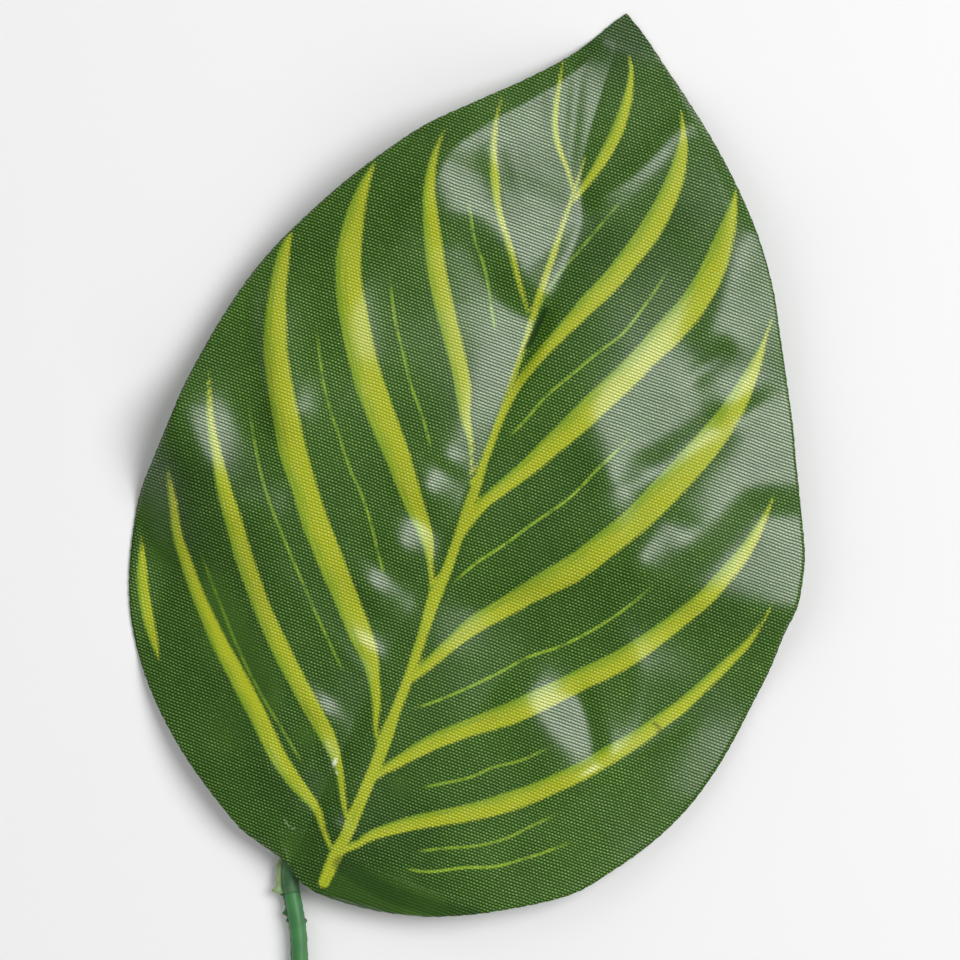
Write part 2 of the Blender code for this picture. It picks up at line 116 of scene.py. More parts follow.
blade = {
    "thickness": 0.4,
    "lowest": 0.05,  # how far over the floor the cloth stays
    "fray": 0.05,  # how far the thread ends stand out of the cut margin
    "rows": 260, "leftColumns": 72, "rightColumns": 84,
    "marginStep": 0.5, "foldStep": 0.8,  # between points of a margin and of a fold's crest
    "softenPasses": 2,
    "baseCorner": (-6.5, 2.5),
    "leftMargin": [
        (-8.6, 3.7), (-10.4, 4.2), (-14, 5.2), (-18.2, 6.9), (-28.4, 13.6), (-36.4, 20.4),
        (-42.5, 27.3), (-46.7, 34.1), (-49.4, 41), (-51.2, 48.5), (-52, 55), (-51.5, 61.5),
        (-50.9, 68.3), (-50.5, 75.1), (-49.5, 82), (-48.1, 88.8), (-46.2, 95.7), (-43.6, 102.5),
        (-40.1, 109.3), (-36.1, 116.2), (-31.5, 123), (-26.2, 129.9), (-19.3, 136.7), (-12.3, 143.5),
        (-6.2, 150.4), (-2, 157.2)],
    "rightMargin": [
        (-4.4, 1.1), (-2, 0.3), (1, 0), (4, 0), (8, 0.3), (12, 0.9), (16, 1.8), (20, 3), (28.4, 6.75),
        (39.8, 13.6), (45.9, 20.4), (50.8, 27.3), (54.3, 34.1), (56.6, 41), (58.1, 47.8), (59.1, 54.6),
        (60, 61.5), (60.2, 68.3), (60.7, 73), (60.2, 77), (59, 82), (56, 88.8), (52.7, 95.7),
        (49.7, 102.5), (46.2, 109.3), (42.6, 116.2), (39, 123), (34.2, 129.9), (28.4, 136.7),
        (21.4, 143.5), (13.2, 150.4), (4.5, 157.2)],
    "tip": (0, 160),
    # half widths either side of the axis, by the distance from the base
    "leftWidth": [
        (0, 0), (1, 5.0), (4, 10.5), (7, 18.5), (14, 28.8), (27, 42.4), (41, 49.5), (55, 52.0),
        (68, 51.0), (82, 49.6), (95, 46.4), (109, 40.3), (123, 31.6), (137, 19.2), (144, 12.0),
        (150, 6.4), (156, 2.4), (160, 0)],
    "rightWidth": [
        (0, 0), (1, 12.5), (4, 23.5), (7, 28.7), (14, 40.2), (27, 50.6), (41, 56.6), (55, 59.2),
        (68, 60.2), (75, 60.6), (82, 59.0), (95, 53.0), (109, 46.3), (123, 39.0), (137, 28.2),
        (150, 13.5), (157, 4.6), (160, 0)],
    # the pressed groove over the midrib: (distance from base, distance from axis)
    "groove": [
        (0, -6.8), (15, -5.6), (30, -4.3), (46, -2.6), (62, -0.4), (80, 1.5), (100, 3.2), (115, 4.2),
        (123, 4.1), (129, 2.4), (135, 1.0), (142, 0.5), (152, 0.2), (160, 0.0)],
    # heights over the floor
    "grooveHeight": [
        (0, 4.6), (12, 6.8), (30, 8.2), (55, 9.4), (80, 11.0), (92, 11.0), (104, 10.1), (116, 8.4),
        (125, 6.7), (135, 5.2), (145, 3.2), (150, 1.8), (154, 0.5), (157, -0.2), (160, -1.0)],
    "leftCrest": [
        (0, 4.9), (12, 7.2), (30, 8.8), (60, 10.6), (78, 11.6), (90, 12.2), (104, 12.8), (112, 13.6),
        (118, 14.0), (124, 13.4), (128, 12.0), (134, 9.4), (140, 6.9), (145, 4.9), (150, 2.8),
        (154, 0.6), (157, -0.2), (160, -1.0)],
    "rightCrest": [
        (0, 5.2), (12, 7.6), (30, 9.2), (45, 9.0), (55, 10.4), (66, 12.8), (73, 13.6), (81, 14.0),
        (95, 13.2), (110, 11.4), (122, 9.8), (132, 8.2), (146, 3.8), (153, 0.8), (157, -0.2),
        (160, -1.0)],
    "leftEdge": [
        (0, 4.5), (8, 4.6), (20, 2.4), (31, -0.6), (44, -3.6), (53, -1.6), (64, 2.4), (75, 4.4),
        (86, 4.8), (95, 5.2), (105, 6.2), (115, 8.0), (123, 9.4), (130, 9.4), (135, 8.6), (142, 6.0),
        (149, 2.8), (154, 0.4), (160, -1.6)],
    "rightEdge": [
        (0, 4.5), (8, 6.0), (20, 5.0), (34, 2.2), (45, 0.4), (55, -0.8), (60, 0.4), (68, 4.8),
        (73, 5.6), (80, 5.6), (95, 4.6), (108, 5.4), (118, 6.4), (129, 7.0), (142, 4.2), (150, 0.8),
        (160, -1.6)],
    "leftCrestAt": [
        (0, 0.3), (40, 0.4), (60, 0.55), (90, 0.62), (105, 0.62), (116, 0.67), (122, 0.71), (128, 0.76),
        (134, 0.74), (140, 0.68), (150, 0.6), (160, 0.6)],
    "rightCrestAt": [
        (0, 0.6), (20, 0.66), (42, 0.72), (54, 0.66), (64, 0.52), (72, 0.54), (79, 0.5), (84, 0.34),
        (88, 0.25), (96, 0.26), (105, 0.36), (112, 0.46), (120, 0.63), (128, 0.79), (136, 0.87),
        (146, 0.9), (160, 0.92)],
    # the bank beside the groove: height and width, then how evenly the half climbs on to its crest
    "leftBank": [
        (0, 1.2), (40, 1.7), (56, 2.1), (66, 2.2), (75, 1.8), (90, 1.6), (104, 1.7), (114, 0.6),
        (130, 0.2), (160, 0.1)],
    "rightBank": [
        (0, 1.2), (30, 1.0), (45, 0.4), (57, 0.5), (68, 0.9), (80, 0.5), (95, 0.25), (160, 0.1)],
    "leftBankWidth": [
        (0, 3.0), (30, 5.0), (55, 8.0), (68, 8.0), (80, 5.5), (98, 7.5), (108, 8.0), (160, 6.0)],
    "rightBankWidth": [(0, 3.5), (160, 3.5)],
    "evenClimb": [(0, 0), (98, 0.1), (112, 0.9), (118, 1.0), (160, 1.0)],
    "straight": 0.88,  # how much of the fall from a crest to its margin is straight
    "bankRounding": 0.06, "crestRounding": 0.0025,
    # folds: crest points, height, width on its left and right, rounding, rise and fall
    "folds": [
        # ridge below the bright shoulder left of the tip, and the dip under it
        ([(3, 110.5), (-3, 113.5), (-8, 117), (-12, 119), (-16, 118), (-20, 116.5), (-26, 114)],
         1.7, 6, 24, 0.15, 0.2, 0.3),
        ([(6, 104.2), (-3, 105.2), (-8, 108.5), (-14, 113)], -2.5, 18, 5, 0.15, 0.15, 0.6),
        ([(-16, 132.5), (-12.5, 127.5), (-9.5, 123.5), (-5, 119.5), (-2, 117)],
         -1.1, 3, 3.2, 0.3, 0.2, 0.7),
        # right half over the middle
        ([(19, 82), (23, 87), (28, 92), (33, 98), (38, 103), (44, 108), (51, 112)],
         1.4, 14, 5, 0.15, 0.15, 0.3),
        ([(26, 77), (30, 85), (35, 94), (39.5, 102)], -1.4, 6, 6, 0.25, 0.2, 0.2),
        ([(29, 101), (32.5, 106.5), (36, 113)], -0.8, 2.4, 2.4, 0.3, 0.3, 0.3),
        ([(31, 106), (31.5, 113), (32, 121), (32.5, 129), (33.5, 137)], 1.5, 5.5, 16, 0.12, 0.25, 0.2),
        ([(35, 71), (38.5, 77), (42.5, 84.5), (45.5, 89.5), (53, 93), (62, 95)],
         2.3, 18, 6, 0.1, 0.22, 0.1),
        ([(28, 71.5), (36, 70.4), (44, 69.6), (52, 69.8), (60, 72), (68, 74)],
         1.9, 12, 4, 0.2, 0.12, 0.05),
        ([(20, 80.6), (24, 83.6), (28, 86)], 0.4, 1.5, 1.5, 0.4, 0.2, 0.3),
        # the low bands from the midrib to the right
        ([(0, 53.5), (12, 56), (20, 60), (28, 65), (37, 68.5)], -1.8, 4, 12, 0.2, 0.3, 0.6),
        ([(0, 46.5), (12, 47), (20, 51), (28, 56), (40, 62)], 0.35, 9, 3, 0.25, 0.1, 0.3),
        ([(10, 62), (20, 65), (28, 71), (34, 77)], 0.9, 13, 3, 0.25, 0.2, 0.2),
        # the facet with its apex low on the right
        ([(17, 45), (21.5, 43), (29, 38.5), (37, 33.6)], 2.4, 8.5, 10, 0.2, 0.2, 0.06),
        ([(28, 50), (33, 44), (38, 35)], -1.6, 2, 9, 0.2, 0.25, 0.15),
        ([(38, 33), (42, 42), (44, 52), (45, 58)], 0.7, 9, 9, 0.25, 0.15, 0.5),
        ([(57, 24), (60, 34), (61.5, 46), (62, 58), (63, 66)], 2.4, 11, 8, 0.15, 0.3, 0.2),
        ([(12, 18), (18, 21), (28, 27.5), (37, 34.5), (44, 42), (51, 51)],
         0.5, 1.3, 1.5, 0.25, 0.1, 0.1),
        ([(4, 126), (8.5, 131), (12.5, 139), (14, 143), (18, 148)], 0.9, 2.0, 2.2, 0.25, 0.15, 0.1),
        # left half
        ([(-55, 70), (-46, 65.5), (-38, 59.5), (-31, 52)], 4.0, 9, 24, 0.15, 0.1, 0.3),
        ([(-30.5, 70), (-35.5, 80), (-40, 89), (-44, 100)], 2.8, 3.2, 6, 0.25, 0.2, 0.3),
        ([(-22, 84), (-27.5, 93), (-32.5, 103), (-35, 111)], 1.1, 4, 5, 0.35, 0.2, 0.3),
        ([(-4, 38), (-14, 43), (-31, 54)], 0.45, 1.2, 1.4, 0.25, 0.1, 0.3)],
    # puckers and dents: centre x, centre y, turn, half length, half width, height
    "puckers": [
        (-2.6, 139, 104, 11, 1.5, -0.5), (-7, 141, 112, 8, 1.5, -0.35), (-3.6, 77.4, 160, 3, 1.2, 0.6),
        (-5.5, 71.0, 150, 5, 3.4, 1.8), (-6.5, 60.6, 150, 5.5, 3.8, 2.0),
        (-9, 52.6, 158, 6.5, 2.6, 1.6), (-6, 49.2, 150, 2.5, 1.0, 0.4),
        (-6.6, 42.6, 160, 3.5, 1.0, 0.6), (-10.8, 30.2, 152, 5, 1.5, 1.1),
        (-7, 23.2, 125, 3.5, 1.0, 0.6), (-16.8, 18.7, 145, 6, 1.8, 0.4), (-2.8, 12, 175, 4, 1.4, 0.6),
        (-4.6, 66.6, 145, 2.5, 1.0, -0.6), (-51, 72, 112, 8, 8, 3.4), (42.5, 102.5, 55, 4, 1.8, -0.6),
        (30.5, 70.5, 40, 6, 7, 1.6), (-45.5, 61, 120, 7, 5, 1.8)],
    # slight waves of the whole cloth: turn, length, height
    "waves": [(20, 23, 0.12), (75, 31, 0.14), (128, 17, 0.08), (160, 41, 0.16), (50, 11, 0.03)],
}


def foldHeight(x, y, fold):
    points, height, left, right, rounding, rise, fall = fold
    away, share = besidePath(smoothPath(points, blade["foldStep"]), x, y)
    far = np.sqrt((away / np.where(away > 0, left, right))**2 + rounding**2)
    flank = 0.5 * (1 - far + np.sqrt((1 - far)**2 + rounding**2))
    return height * flank * ease(share / rise) * ease((1 - share) / fall)


def puckerHeight(x, y, pucker):
    px, py, turn, length, width, height = pucker
    along, across = turned(x - px, y - py, turn)
    return height * np.exp(-((along / length) ** 2) - (across / width) ** 2)


def bankRamp(t):  # climbs evenly to 1 and stays there, with a rounded corner
    return 0.5 * (1 + t - np.sqrt((1 - t) ** 2 + blade["bankRounding"]))


def archHeight(x, y):  # each half arches from the groove over its crest and down to its margin
    grooveX = smoothTable(blade["groove"], y)
    left = x < grooveX

    def half(name):  # this table for the half that each point lies in
        tables = blade["left" + name], blade["right" + name]
        return np.where(left, *(smoothTable(table, y) for table in tables))

    width = np.maximum(half("Width") + np.where(left, grooveX, -grooveX), 1.0)
    out = np.abs(x - grooveX)
    share = np.clip(out / width, 0, 1.15)
    groove = smoothTable(blade["grooveHeight"], y)
    crest, edge, crestAt = half("Crest"), half("Edge"), half("CrestAt")
    bank, reach = half("Bank"), half("BankWidth")
    even = np.where(left, smoothTable(blade["evenClimb"], y), 0.0)
    climb = np.clip(share / crestAt, 0, 1)
    climb = climb * even + np.sin(math.pi / 2 * climb) * (1 - even)
    banked = bank * bankRamp(out / reach) / bankRamp(crestAt * width / reach)
    rise = banked + (crest - groove - bank) * climb
    beyond = np.clip((share - crestAt) / (1 - crestAt), 0, 1.2)
    straight = 1 + math.sqrt(blade["crestRounding"]) - np.sqrt(beyond**2 + blade["crestRounding"])
    fall = np.cos(math.pi / 2 * beyond) * (1 - blade["straight"]) + straight * blade["straight"]
    return np.where(share < crestAt, groove + rise, edge + (crest - edge) * fall)


def bladeHeight(x, y):
    height = archHeight(x, y)
    for fold in blade["folds"]:
        height = height + foldHeight(x, y, fold)
    for pucker in blade["puckers"]:
        height = height + puckerHeight(x, y, pucker)
    for turn, length, depth in blade["waves"]:
        height = height + depth * np.sin(turned(x, y, turn)[0] * 2 * math.pi / length + turn)
    return np.maximum(height, blade["thickness"] / 2 + blade["lowest"])


def bladeGrid():  # rows from base to tip, each from the left margin over the groove to the right margin
    corner, tip = blade["baseCorner"], blade["tip"]
    shares = np.linspace(0, 1, blade["rows"] + 1)[1:-1]

    def margin(name):
        path = smoothPath([corner] + blade[name] + [tip], blade["marginStep"])
        return pointsAt(path, shares * lengthsAlong(path)[-1])

    number = np.arange(len(shares))
    threadEnds = blade["fray"] * np.column_stack([np.sin(number * 2.6), np.sin(number * 4.3 + 1)])
    left, right = margin("leftMargin") + threadEnds, margin("rightMargin") - threadEnds
    along = corner[1] + (tip[1] - corner[1]) * shares
    middle = np.column_stack([smoothTable(blade["groove"], along), along])
    out = np.linspace(1, 0, blade["leftColumns"] + 1)[None, :, None]
    leftHalf = middle[:, None] + (left - middle)[:, None] * out
    out = np.linspace(0, 1, blade["rightColumns"] + 1)[None, 1:, None]
    rightHalf = middle[:, None] + (right - middle)[:, None] * out
    return np.concatenate([leftHalf, rightHalf], axis=1)


printed = {
    "step": 1.5, "markStep": 0.5,  # between points of a line and of a small mark
    "midribShade": 0.3,  # how much of a stripe's cross shading the midrib has
    "hairFade": (0.08, 0.2),  # share of a hairline over which it comes and goes
    # stripes, from the midrib outwards: (x, y, half width)
    "stripes": [
        [(-1.2, 8.2, 0.35), (-3.5, 11, 0.5), (-5.5, 13.6, 0.75), (-8, 15.3, 1.0), (-11.4, 17.5, 1.3),
         (-15.5, 20.7, 1.45), (-20.4, 25.7, 1.5), (-25.7, 30.6, 1.5), (-30.8, 35.3, 1.4),
         (-35.5, 40, 1.15), (-39.6, 44.9, 1.1), (-43.3, 49.9, 0.9), (-45.8, 55, 0.75),
         (-47.6, 58.5, 0.45), (-48.6, 60.8, 0.1)],
        [(-0.4, 14.1, 0.35), (-2.1, 17.2, 0.5), (-3.5, 20.2, 0.65), (-5.4, 23.2, 0.9),
         (-8.3, 26.5, 1.35), (-12.2, 30, 1.5), (-17.6, 35, 1.5), (-22.8, 40.2, 1.5), (-27.2, 45.2, 1.5),
         (-31.2, 50.1, 1.55), (-34.6, 55.1, 1.5), (-38.1, 60, 1.25), (-41.2, 65, 0.9),
         (-44.1, 70, 0.65), (-46.2, 75, 0.4), (-47.6, 78.8, 0.1)],
        [(0.6, 28, 0.3), (-0.6, 30, 0.4), (-1.8, 34, 0.75), (-3.5, 37.7, 1.0), (-5.6, 41.3, 1.5),
         (-8.7, 44.9, 2.0), (-13, 50, 2.1), (-17.7, 55.2, 2.2), (-22, 60.3, 2.3), (-25.7, 65.2, 2.15),
         (-29.3, 70.2, 2.35), (-32.2, 75.2, 2.2), (-35.1, 80.3, 2.1), (-37.6, 85.4, 1.95),
         (-39.3, 90.3, 1.75), (-40.7, 95.2, 1.4), (-41.6, 100.1, 1.2), (-41.9, 103.6, 0.7),
         (-41.8, 105.8, 0.1)],
        [(1.2, 53, 0.35), (0.4, 56.5, 0.45), (-0.9, 59.4, 0.55), (-2.4, 62.6, 1.0), (-4.1, 65.1, 1.35),
         (-8.2, 70.1, 1.8), (-12, 75, 2.1), (-16.4, 80, 2.3), (-20.4, 84.9, 2.5), (-24, 90, 2.4),
         (-26.9, 95.1, 2.4), (-29.5, 100.1, 2.25), (-31.2, 105, 2.1), (-32.1, 110, 1.7),
         (-32.5, 115, 1.1), (-32.4, 118.8, 0.6), (-32.1, 121.4, 0.1)],
        [(1.2, 74.5, 0.25), (0, 78, 0.35), (-1.3, 81.5, 0.5), (-3.4, 85, 0.85), (-5.7, 90.2, 1.4),
         (-8.7, 95.2, 1.5), (-11.9, 100.1, 1.55), (-15, 105, 1.6), (-17.6, 110, 1.55), (-20, 115, 1.3),
         (-21.9, 120, 0.95), (-22.8, 125, 0.6), (-22.8, 130.3, 0.1)],
        [(0.8, 105.5, 0.25), (-2, 109.3, 0.45), (-5.6, 114.7, 0.55), (-9.6, 120, 0.6), (-12, 125, 0.8),
         (-13.8, 129.6, 0.55), (-15, 134, 0.4), (-15.5, 138.8, 0.1)],
        [(1.2, 127.6, 0.25), (-0.6, 130.5, 0.4), (-3, 133.2, 0.5), (-4.9, 136.2, 0.55),
         (-6.2, 140.3, 0.5), (-7, 144.5, 0.35), (-7.6, 148.2, 0.1)],
        [(-39.6, 28.6, 0.1), (-41.6, 31.6, 0.7), (-43.8, 34.8, 1.0), (-46.5, 39.8, 0.95),
         (-48, 43.6, 0.75), (-49.6, 47.9, 0.1)],
        [(0.4, 8.2, 0.7), (3, 10.5, 0.65), (4.8, 12.7, 0.9), (10, 16.4, 1.2), (14.8, 19.3, 1.35),
         (19.7, 22.1, 1.5), (24.5, 25.4, 1.6), (29.5, 29.5, 1.55), (34.5, 34.4, 1.5), (39.4, 39.9, 1.5),
         (42, 43, 1.45), (44.7, 46.8, 1.35), (47.3, 50.4, 1.25), (49.9, 54.9, 1.0), (52.5, 59.9, 0.9),
         (54.8, 65, 0.6), (56, 70, 0.2), (56.3, 72.8, 0.05)],
        [(1.8, 22.1, 0.65), (3.2, 24, 0.75), (5, 26.1, 1.0), (7.5, 29, 1.25), (10, 31.6, 1.35),
         (12.5, 33.8, 1.45), (15, 35.9, 1.55), (20.2, 40, 1.85), (25.1, 44.7, 1.85), (30, 49.6, 1.85),
         (35, 54.8, 1.8), (37.5, 57.9, 1.75), (40.1, 61.5, 1.6), (42.5, 65.3, 1.55), (45, 69.5, 1.45),
         (47.3, 74.7, 1.35), (49.1, 79.7, 1.1), (50.2, 85, 0.6), (50.6, 90, 0.1)],
        [(2.6, 40.5, 0.75), (4.1, 43, 0.9), (5.2, 45, 1.05), (7.3, 48.7, 1.25), (9.6, 52.3, 1.55),
         (12.2, 55.4, 1.7), (14.8, 58.5, 1.85), (17.3, 61.5, 1.95), (19.9, 64.3, 2.1),
         (22.6, 67.4, 2.2), (25.1, 71, 2.25), (27.7, 75, 2.25), (30.5, 79.9, 2.35), (32.9, 84.8, 2.5),
         (35.1, 89.8, 2.5), (37.1, 94.8, 2.4), (38.8, 99.9, 1.95), (39.7, 105, 1.55), (40.3, 110, 0.95),
         (40.4, 114, 0.4), (40.4, 118.3, 0.1)],
        [(2.2, 64, 0.5), (2.5, 67, 0.75), (3.4, 70, 0.9), (4.4, 72.6, 1.0), (5.9, 75, 1.1),
         (9, 80, 1.45), (11.8, 85.1, 1.75), (14.5, 90, 1.95), (17, 95, 2.1), (19.7, 99.9, 2.15),
         (22, 105, 2.1), (24.4, 109.9, 2.4), (26.5, 114.9, 2.35), (27.8, 120, 2.2), (28.3, 125, 1.9),
         (28.3, 130, 1.35), (28, 133.8, 0.75), (27.4, 137, 0.1)],
        [(2.2, 82, 0.35), (2.7, 88.8, 0.5), (3.2, 92.5, 0.65), (3.9, 95.2, 0.75), (5.5, 100, 0.95),
         (7.7, 105, 1.2), (9.9, 110, 1.5), (12.3, 115, 1.7), (14.2, 120, 1.8), (15.7, 125, 1.9),
         (16.7, 130, 1.75), (17.1, 135, 1.55), (16.7, 140, 1.05), (15.8, 143.4, 0.55),
         (14.3, 147, 0.1)],
        [(1.8, 126, 0.3), (2.7, 128.8, 0.6), (3.6, 131.8, 0.8), (4.4, 135, 1.0), (5.1, 140, 1.05),
         (5, 145, 0.9), (4.5, 148.8, 0.55), (3.8, 151.3, 0.35), (2.8, 153.2, 0.1)]],
    "midrib": [
        (-0.35, 2.2, 0.95), (-0.15, 5, 1.1), (0.05, 7.5, 1.15), (0.6, 11.5, 1.0), (0.7, 14.2, 1.1),
        (1.0, 17.5, 1.0), (1.2, 20, 1.0), (1.5, 25, 1.0), (1.6, 29, 1.15), (1.7, 35, 0.85),
        (1.9, 40, 0.85), (1.8, 47, 0.8), (1.6, 55, 1.1), (2.1, 60, 0.85), (2.1, 70, 0.85),
        (2.1, 78, 0.75), (2.2, 90, 0.6), (1.9, 102, 0.5), (1.6, 111, 0.6), (1.5, 120, 0.45),
        (1.4, 129, 0.25), (1.4, 134, 0.1)],
    # hairlines between the stripes: points and strength
    "hairlines": [
        ([(4, 35), (9, 39), (15.3, 45), (20, 50), (25, 54), (30, 59.5), (33.8, 65), (36.5, 70)], 0.9),
        ([(3.6, 57.5), (6.5, 62.5), (10, 67), (13.8, 72.5), (17.8, 78), (20.6, 84), (22.6, 88),
          (25, 93)],
         0.9),
        ([(4.5, 84), (6.6, 88.4), (8.4, 93), (11.3, 97.8), (14.4, 103), (17.3, 107.5), (19, 112.5),
          (20.3, 117), (21.2, 122)], 0.8),
        ([(10, 23), (13.8, 25.3), (17.5, 27.6), (20.6, 30.5), (23.8, 32.5), (26.3, 34.7), (29, 37.5)],
         0.7),
        ([(13, 12.5), (17, 14.5), (21.9, 16.6), (26.3, 19.4), (30, 23.1), (34, 27)], 0.7),
        ([(12, 9), (16.3, 10), (21.3, 12.5), (26.3, 14.4), (30, 16.9), (33.8, 19.7), (38, 23.2)], 1.0),
        ([(3, 112), (5.5, 118), (7.2, 122.5), (8.4, 125.6), (10, 130)], 0.6),
        ([(1.8, 105), (2.3, 107), (2.8, 110.6), (3.9, 114)], 0.5),
        ([(-7, 54), (-12, 61.9), (-16, 67.2), (-19, 70.3), (-22.5, 75), (-25, 78.1), (-28.5, 83.5),
          (-33, 93)],
         0.7),
        ([(-7, 78), (-10.3, 82.8), (-13.4, 86.6), (-15, 88.8), (-17.5, 92.8), (-20.3, 97.2),
          (-24, 105)],
         0.7),
        ([(-8.5, 37), (-19, 48), (-32, 63), (-40, 77)], 0.6), ([(-10, 20), (-25, 33), (-40, 50)], 0.5),
        ([(-3, 100), (-5.3, 104), (-7.2, 107.8), (-9.4, 111.3), (-11.9, 114.4), (-15.5, 121)], 0.7)],
    # painted shade where the green is deeper and painted sheen where it is paler: x, y, reach, amount
    "shadeAndSheen": [
        (3, 6, 15, -0.55), (-22, 26, 16, -0.3), (-47, 56, 13, -0.45), (0, 158, 8, -1.0),
        (8, 118, 9, -0.2), (20, 128, 9, -0.2), (42, 24, 16, 0.35), (24, 14, 10, 0.15), (17, 41, 9, 0.2),
        (8, 95, 8, 0.2), (-35, 90, 16, 0.35), (-22, 78, 12, 0.2), (10, 140, 8, 0.2),
        (-12, 100, 10, 0.2)],
    # where heat has smoothed the threads: x, y, reach, amount
    "smooth": [
        (11, 2.6, 6, 0.8), (3, 1.6, 5, 0.8), (18, 3.4, 4, 0.7), (6.5, 22, 2.6, 0.6),
        (-11, 25, 2.6, 0.6), (-5.2, 18, 2.8, 0.6), (-7, 7, 4, 0.6), (-24, 22, 7, 0.45),
        (-33, 34, 6, 0.3), (29, 71, 3, 0.3), (2, 50, 4, 0.3), (-49.2, 53.5, 3.8, 0.75),
        (-45.1, 46.8, 3.8, 0.7), (-36.5, 45, 4, 0.5), (-32, 40.5, 4.2, 0.6), (-27.5, 36.5, 4.2, 0.6),
        (-23, 32, 4, 0.55), (-19.5, 29, 3.5, 0.5)],
    # small marks: melted-through spots, painted shade in creases and painted highlights on them;
    # points, half width, and how pale (up to 1) or dark (down to -1)
    "marksAndCreaseLight": [
        ([(-10.3, 10.4), (-9.5, 9.6), (-8, 9.2), (-6.5, 9.8), (-6, 10)], 0.13, 0.5),
        ([(-5.3, 22.7), (-5.3, 22.1)], 0.2, 0.8), ([(-4.4, 20.9), (-4.2, 20.6)], 0.16, 0.7),
        ([(-5, 21), (-8, 24), (-12, 27)], 0.12, 0.35),
        # painted shade in a crease across the base, then a painted highlight on its edge
        ([(1.5, 6.2), (9, 4.4), (18, 4.2), (26, 5)], 0.9, -0.55),
        ([(1, 8.4), (8, 7.2), (17, 6.8), (24, 7.4)], 0.14, 0.35),
        # painted shade along the groove over the midrib, here and on the next line, and a dark mark on
        # the right half
        ([(2.7, 100), (3.1, 103), (3.5, 107)], 0.32, -0.8), ([(44.2, 46.4), (45.4, 45.3)], 0.3, -0.6),
        ([(1.0, 83), (1.7, 89), (2.4, 96)], 0.2, -0.45), ([(-0.6, 72), (0.3, 78)], 0.18, -0.4)],
}


def stationFields(stations, x, y):  # depth inside the band, place across it, distance along it
    stations = np.array(stations, float)
    travelled = lengthsAlong(stations[:, :2])
    away, share = besidePath(smoothPath(stations[:, :2], printed["step"]), x, y)
    half = smoothTable(list(zip(travelled / travelled[-1], stations[:, 2])), share)
    return half - np.abs(away), np.clip(away / half, -1.5, 1.5), share * travelled[-1]


def stripeFields(x, y):
    inside, across, along = stationFields(printed["midrib"], x, y)
    across = across * printed["midribShade"]
    for stations in printed["stripes"]:
        depth, place, run = stationFields(stations, x, y)
        nearer = depth > inside
        across = np.where(nearer, place, across)
        along = np.where(nearer, run, along)
        inside = np.maximum(inside, depth)
    return inside, across, along


def hairFields(x, y):  # signed and plain distance to the nearest hairline, and its strength
    signed = np.full(x.shape, 9.0)
    strength = np.zeros(x.shape)
    comes, goes = printed["hairFade"]
    for points, power in printed["hairlines"]:
        away, share = besidePath(smoothPath(points, printed["step"]), x, y)
        nearer = np.abs(away) < np.abs(signed)
        signed = np.where(nearer, away, signed)
        strength = np.where(nearer, power * ease(share / comes) * ease((1 - share) / goes), strength)
    return signed, np.abs(signed), strength


def spotField(spots, x, y):
    total = 0
    for px, py, reach, amount in spots:
        total = total + amount * np.exp(-((x - px) ** 2 + (y - py) ** 2) / reach**2)
    return total


def markField(x, y):
    total = np.zeros(x.shape)
    for points, half, power in printed["marksAndCreaseLight"]:
        away, _ = besidePath(smoothPath(points, printed["markStep"]), x, y)
        total = total + power * ease(1.5 - np.abs(away) / (2 * half))
    return total


class Sock:  # a socket that takes part in Python arithmetic
    def __init__(self, finish, out):
        self.finish, self.out = finish, out

    def math(self, operation, *terms):
        return self.finish.node("ShaderNodeMath", {"operation": operation}, dict(enumerate(terms)))

    def apply(self, operation): return self.math(operation, self)
    def __add__(self, other): return self.math("ADD", self, other)
    def __radd__(self, other): return self.math("ADD", other, self)
    def __sub__(self, other): return self.math("SUBTRACT", self, other)
    def __rsub__(self, other): return self.math("SUBTRACT", other, self)
    def __mul__(self, other): return self.math("MULTIPLY", self, other)
    def __rmul__(self, other): return self.math("MULTIPLY", other, self)
    def __truediv__(self, other): return self.math("DIVIDE", self, other)
    def __rtruediv__(self, other): return self.math("DIVIDE", other, self)
    def __pow__(self, other): return self.math("POWER", self, other)
    def __rpow__(self, other): return self.math("POWER", other, self)


class Finish:  # one material, built node by node
    def __init__(self, name, **constants):
        self.material = bpy.data.materials.new(name)
        self.material.use_nodes = True
        self.tree = self.material.node_tree
        self.shader = self.tree.nodes["Principled BSDF"]
        for socket, value in constants.items():
            self.shader.inputs[socket.replace("_", " ")].default_value = value

    def node(self, kind, settings=None, sockets=None, out=0):
        made = self.tree.nodes.new(kind)
        for key, value in (settings or {}).items():
            setattr(made, key, value)
        for key, value in (sockets or {}).items():
            if isinstance(value, Sock):
                self.tree.links.new(value.out, made.inputs[key])
            elif made.inputs[key].type == "RGBA":
                made.inputs[key].default_value = (*value, 1.0)
            else:
                made.inputs[key].default_value = value
        return Sock(self, made.outputs[out])

    def attribute(self, name, out="Fac"):
        return self.node("ShaderNodeAttribute", {"attribute_name": name}, out=out)

    def noise(self, vector, scale, detail=2.0, roughness=0.5):
        sockets = {"Vector": vector, "Scale": scale, "Detail": detail, "Roughness": roughness}
        return self.node("ShaderNodeTexNoise", {}, sockets, "Fac")

    def vector(self, x, y):
        return self.node("ShaderNodeCombineXYZ", {}, {0: x, 1: y, 2: 0.0})

    def step(self, value, low, high):  # 0 below low, 1 above high, smooth between
        sockets = {"Value": value, "From Min": low, "From Max": high}
        return self.node("ShaderNodeMapRange", {"interpolation_type": "SMOOTHSTEP"}, sockets, "Result")

    def mix(self, factor, a, b, blend="MIX"):
        settings = {"data_type": "RGBA", "blend_type": blend}
        return self.node("ShaderNodeMix", settings, {0: factor, 6: a, 7: b}, 2)

    def feed(self, socket, value):
        self.tree.links.new(value.out, self.shader.inputs[socket])

    def raised(self, height, distance, strength=1.0):  # distance in metres
        sockets = {"Strength": strength, "Distance": distance, "Height": height}
        self.feed("Normal", self.node("ShaderNodeBump", {}, sockets, "Normal"))


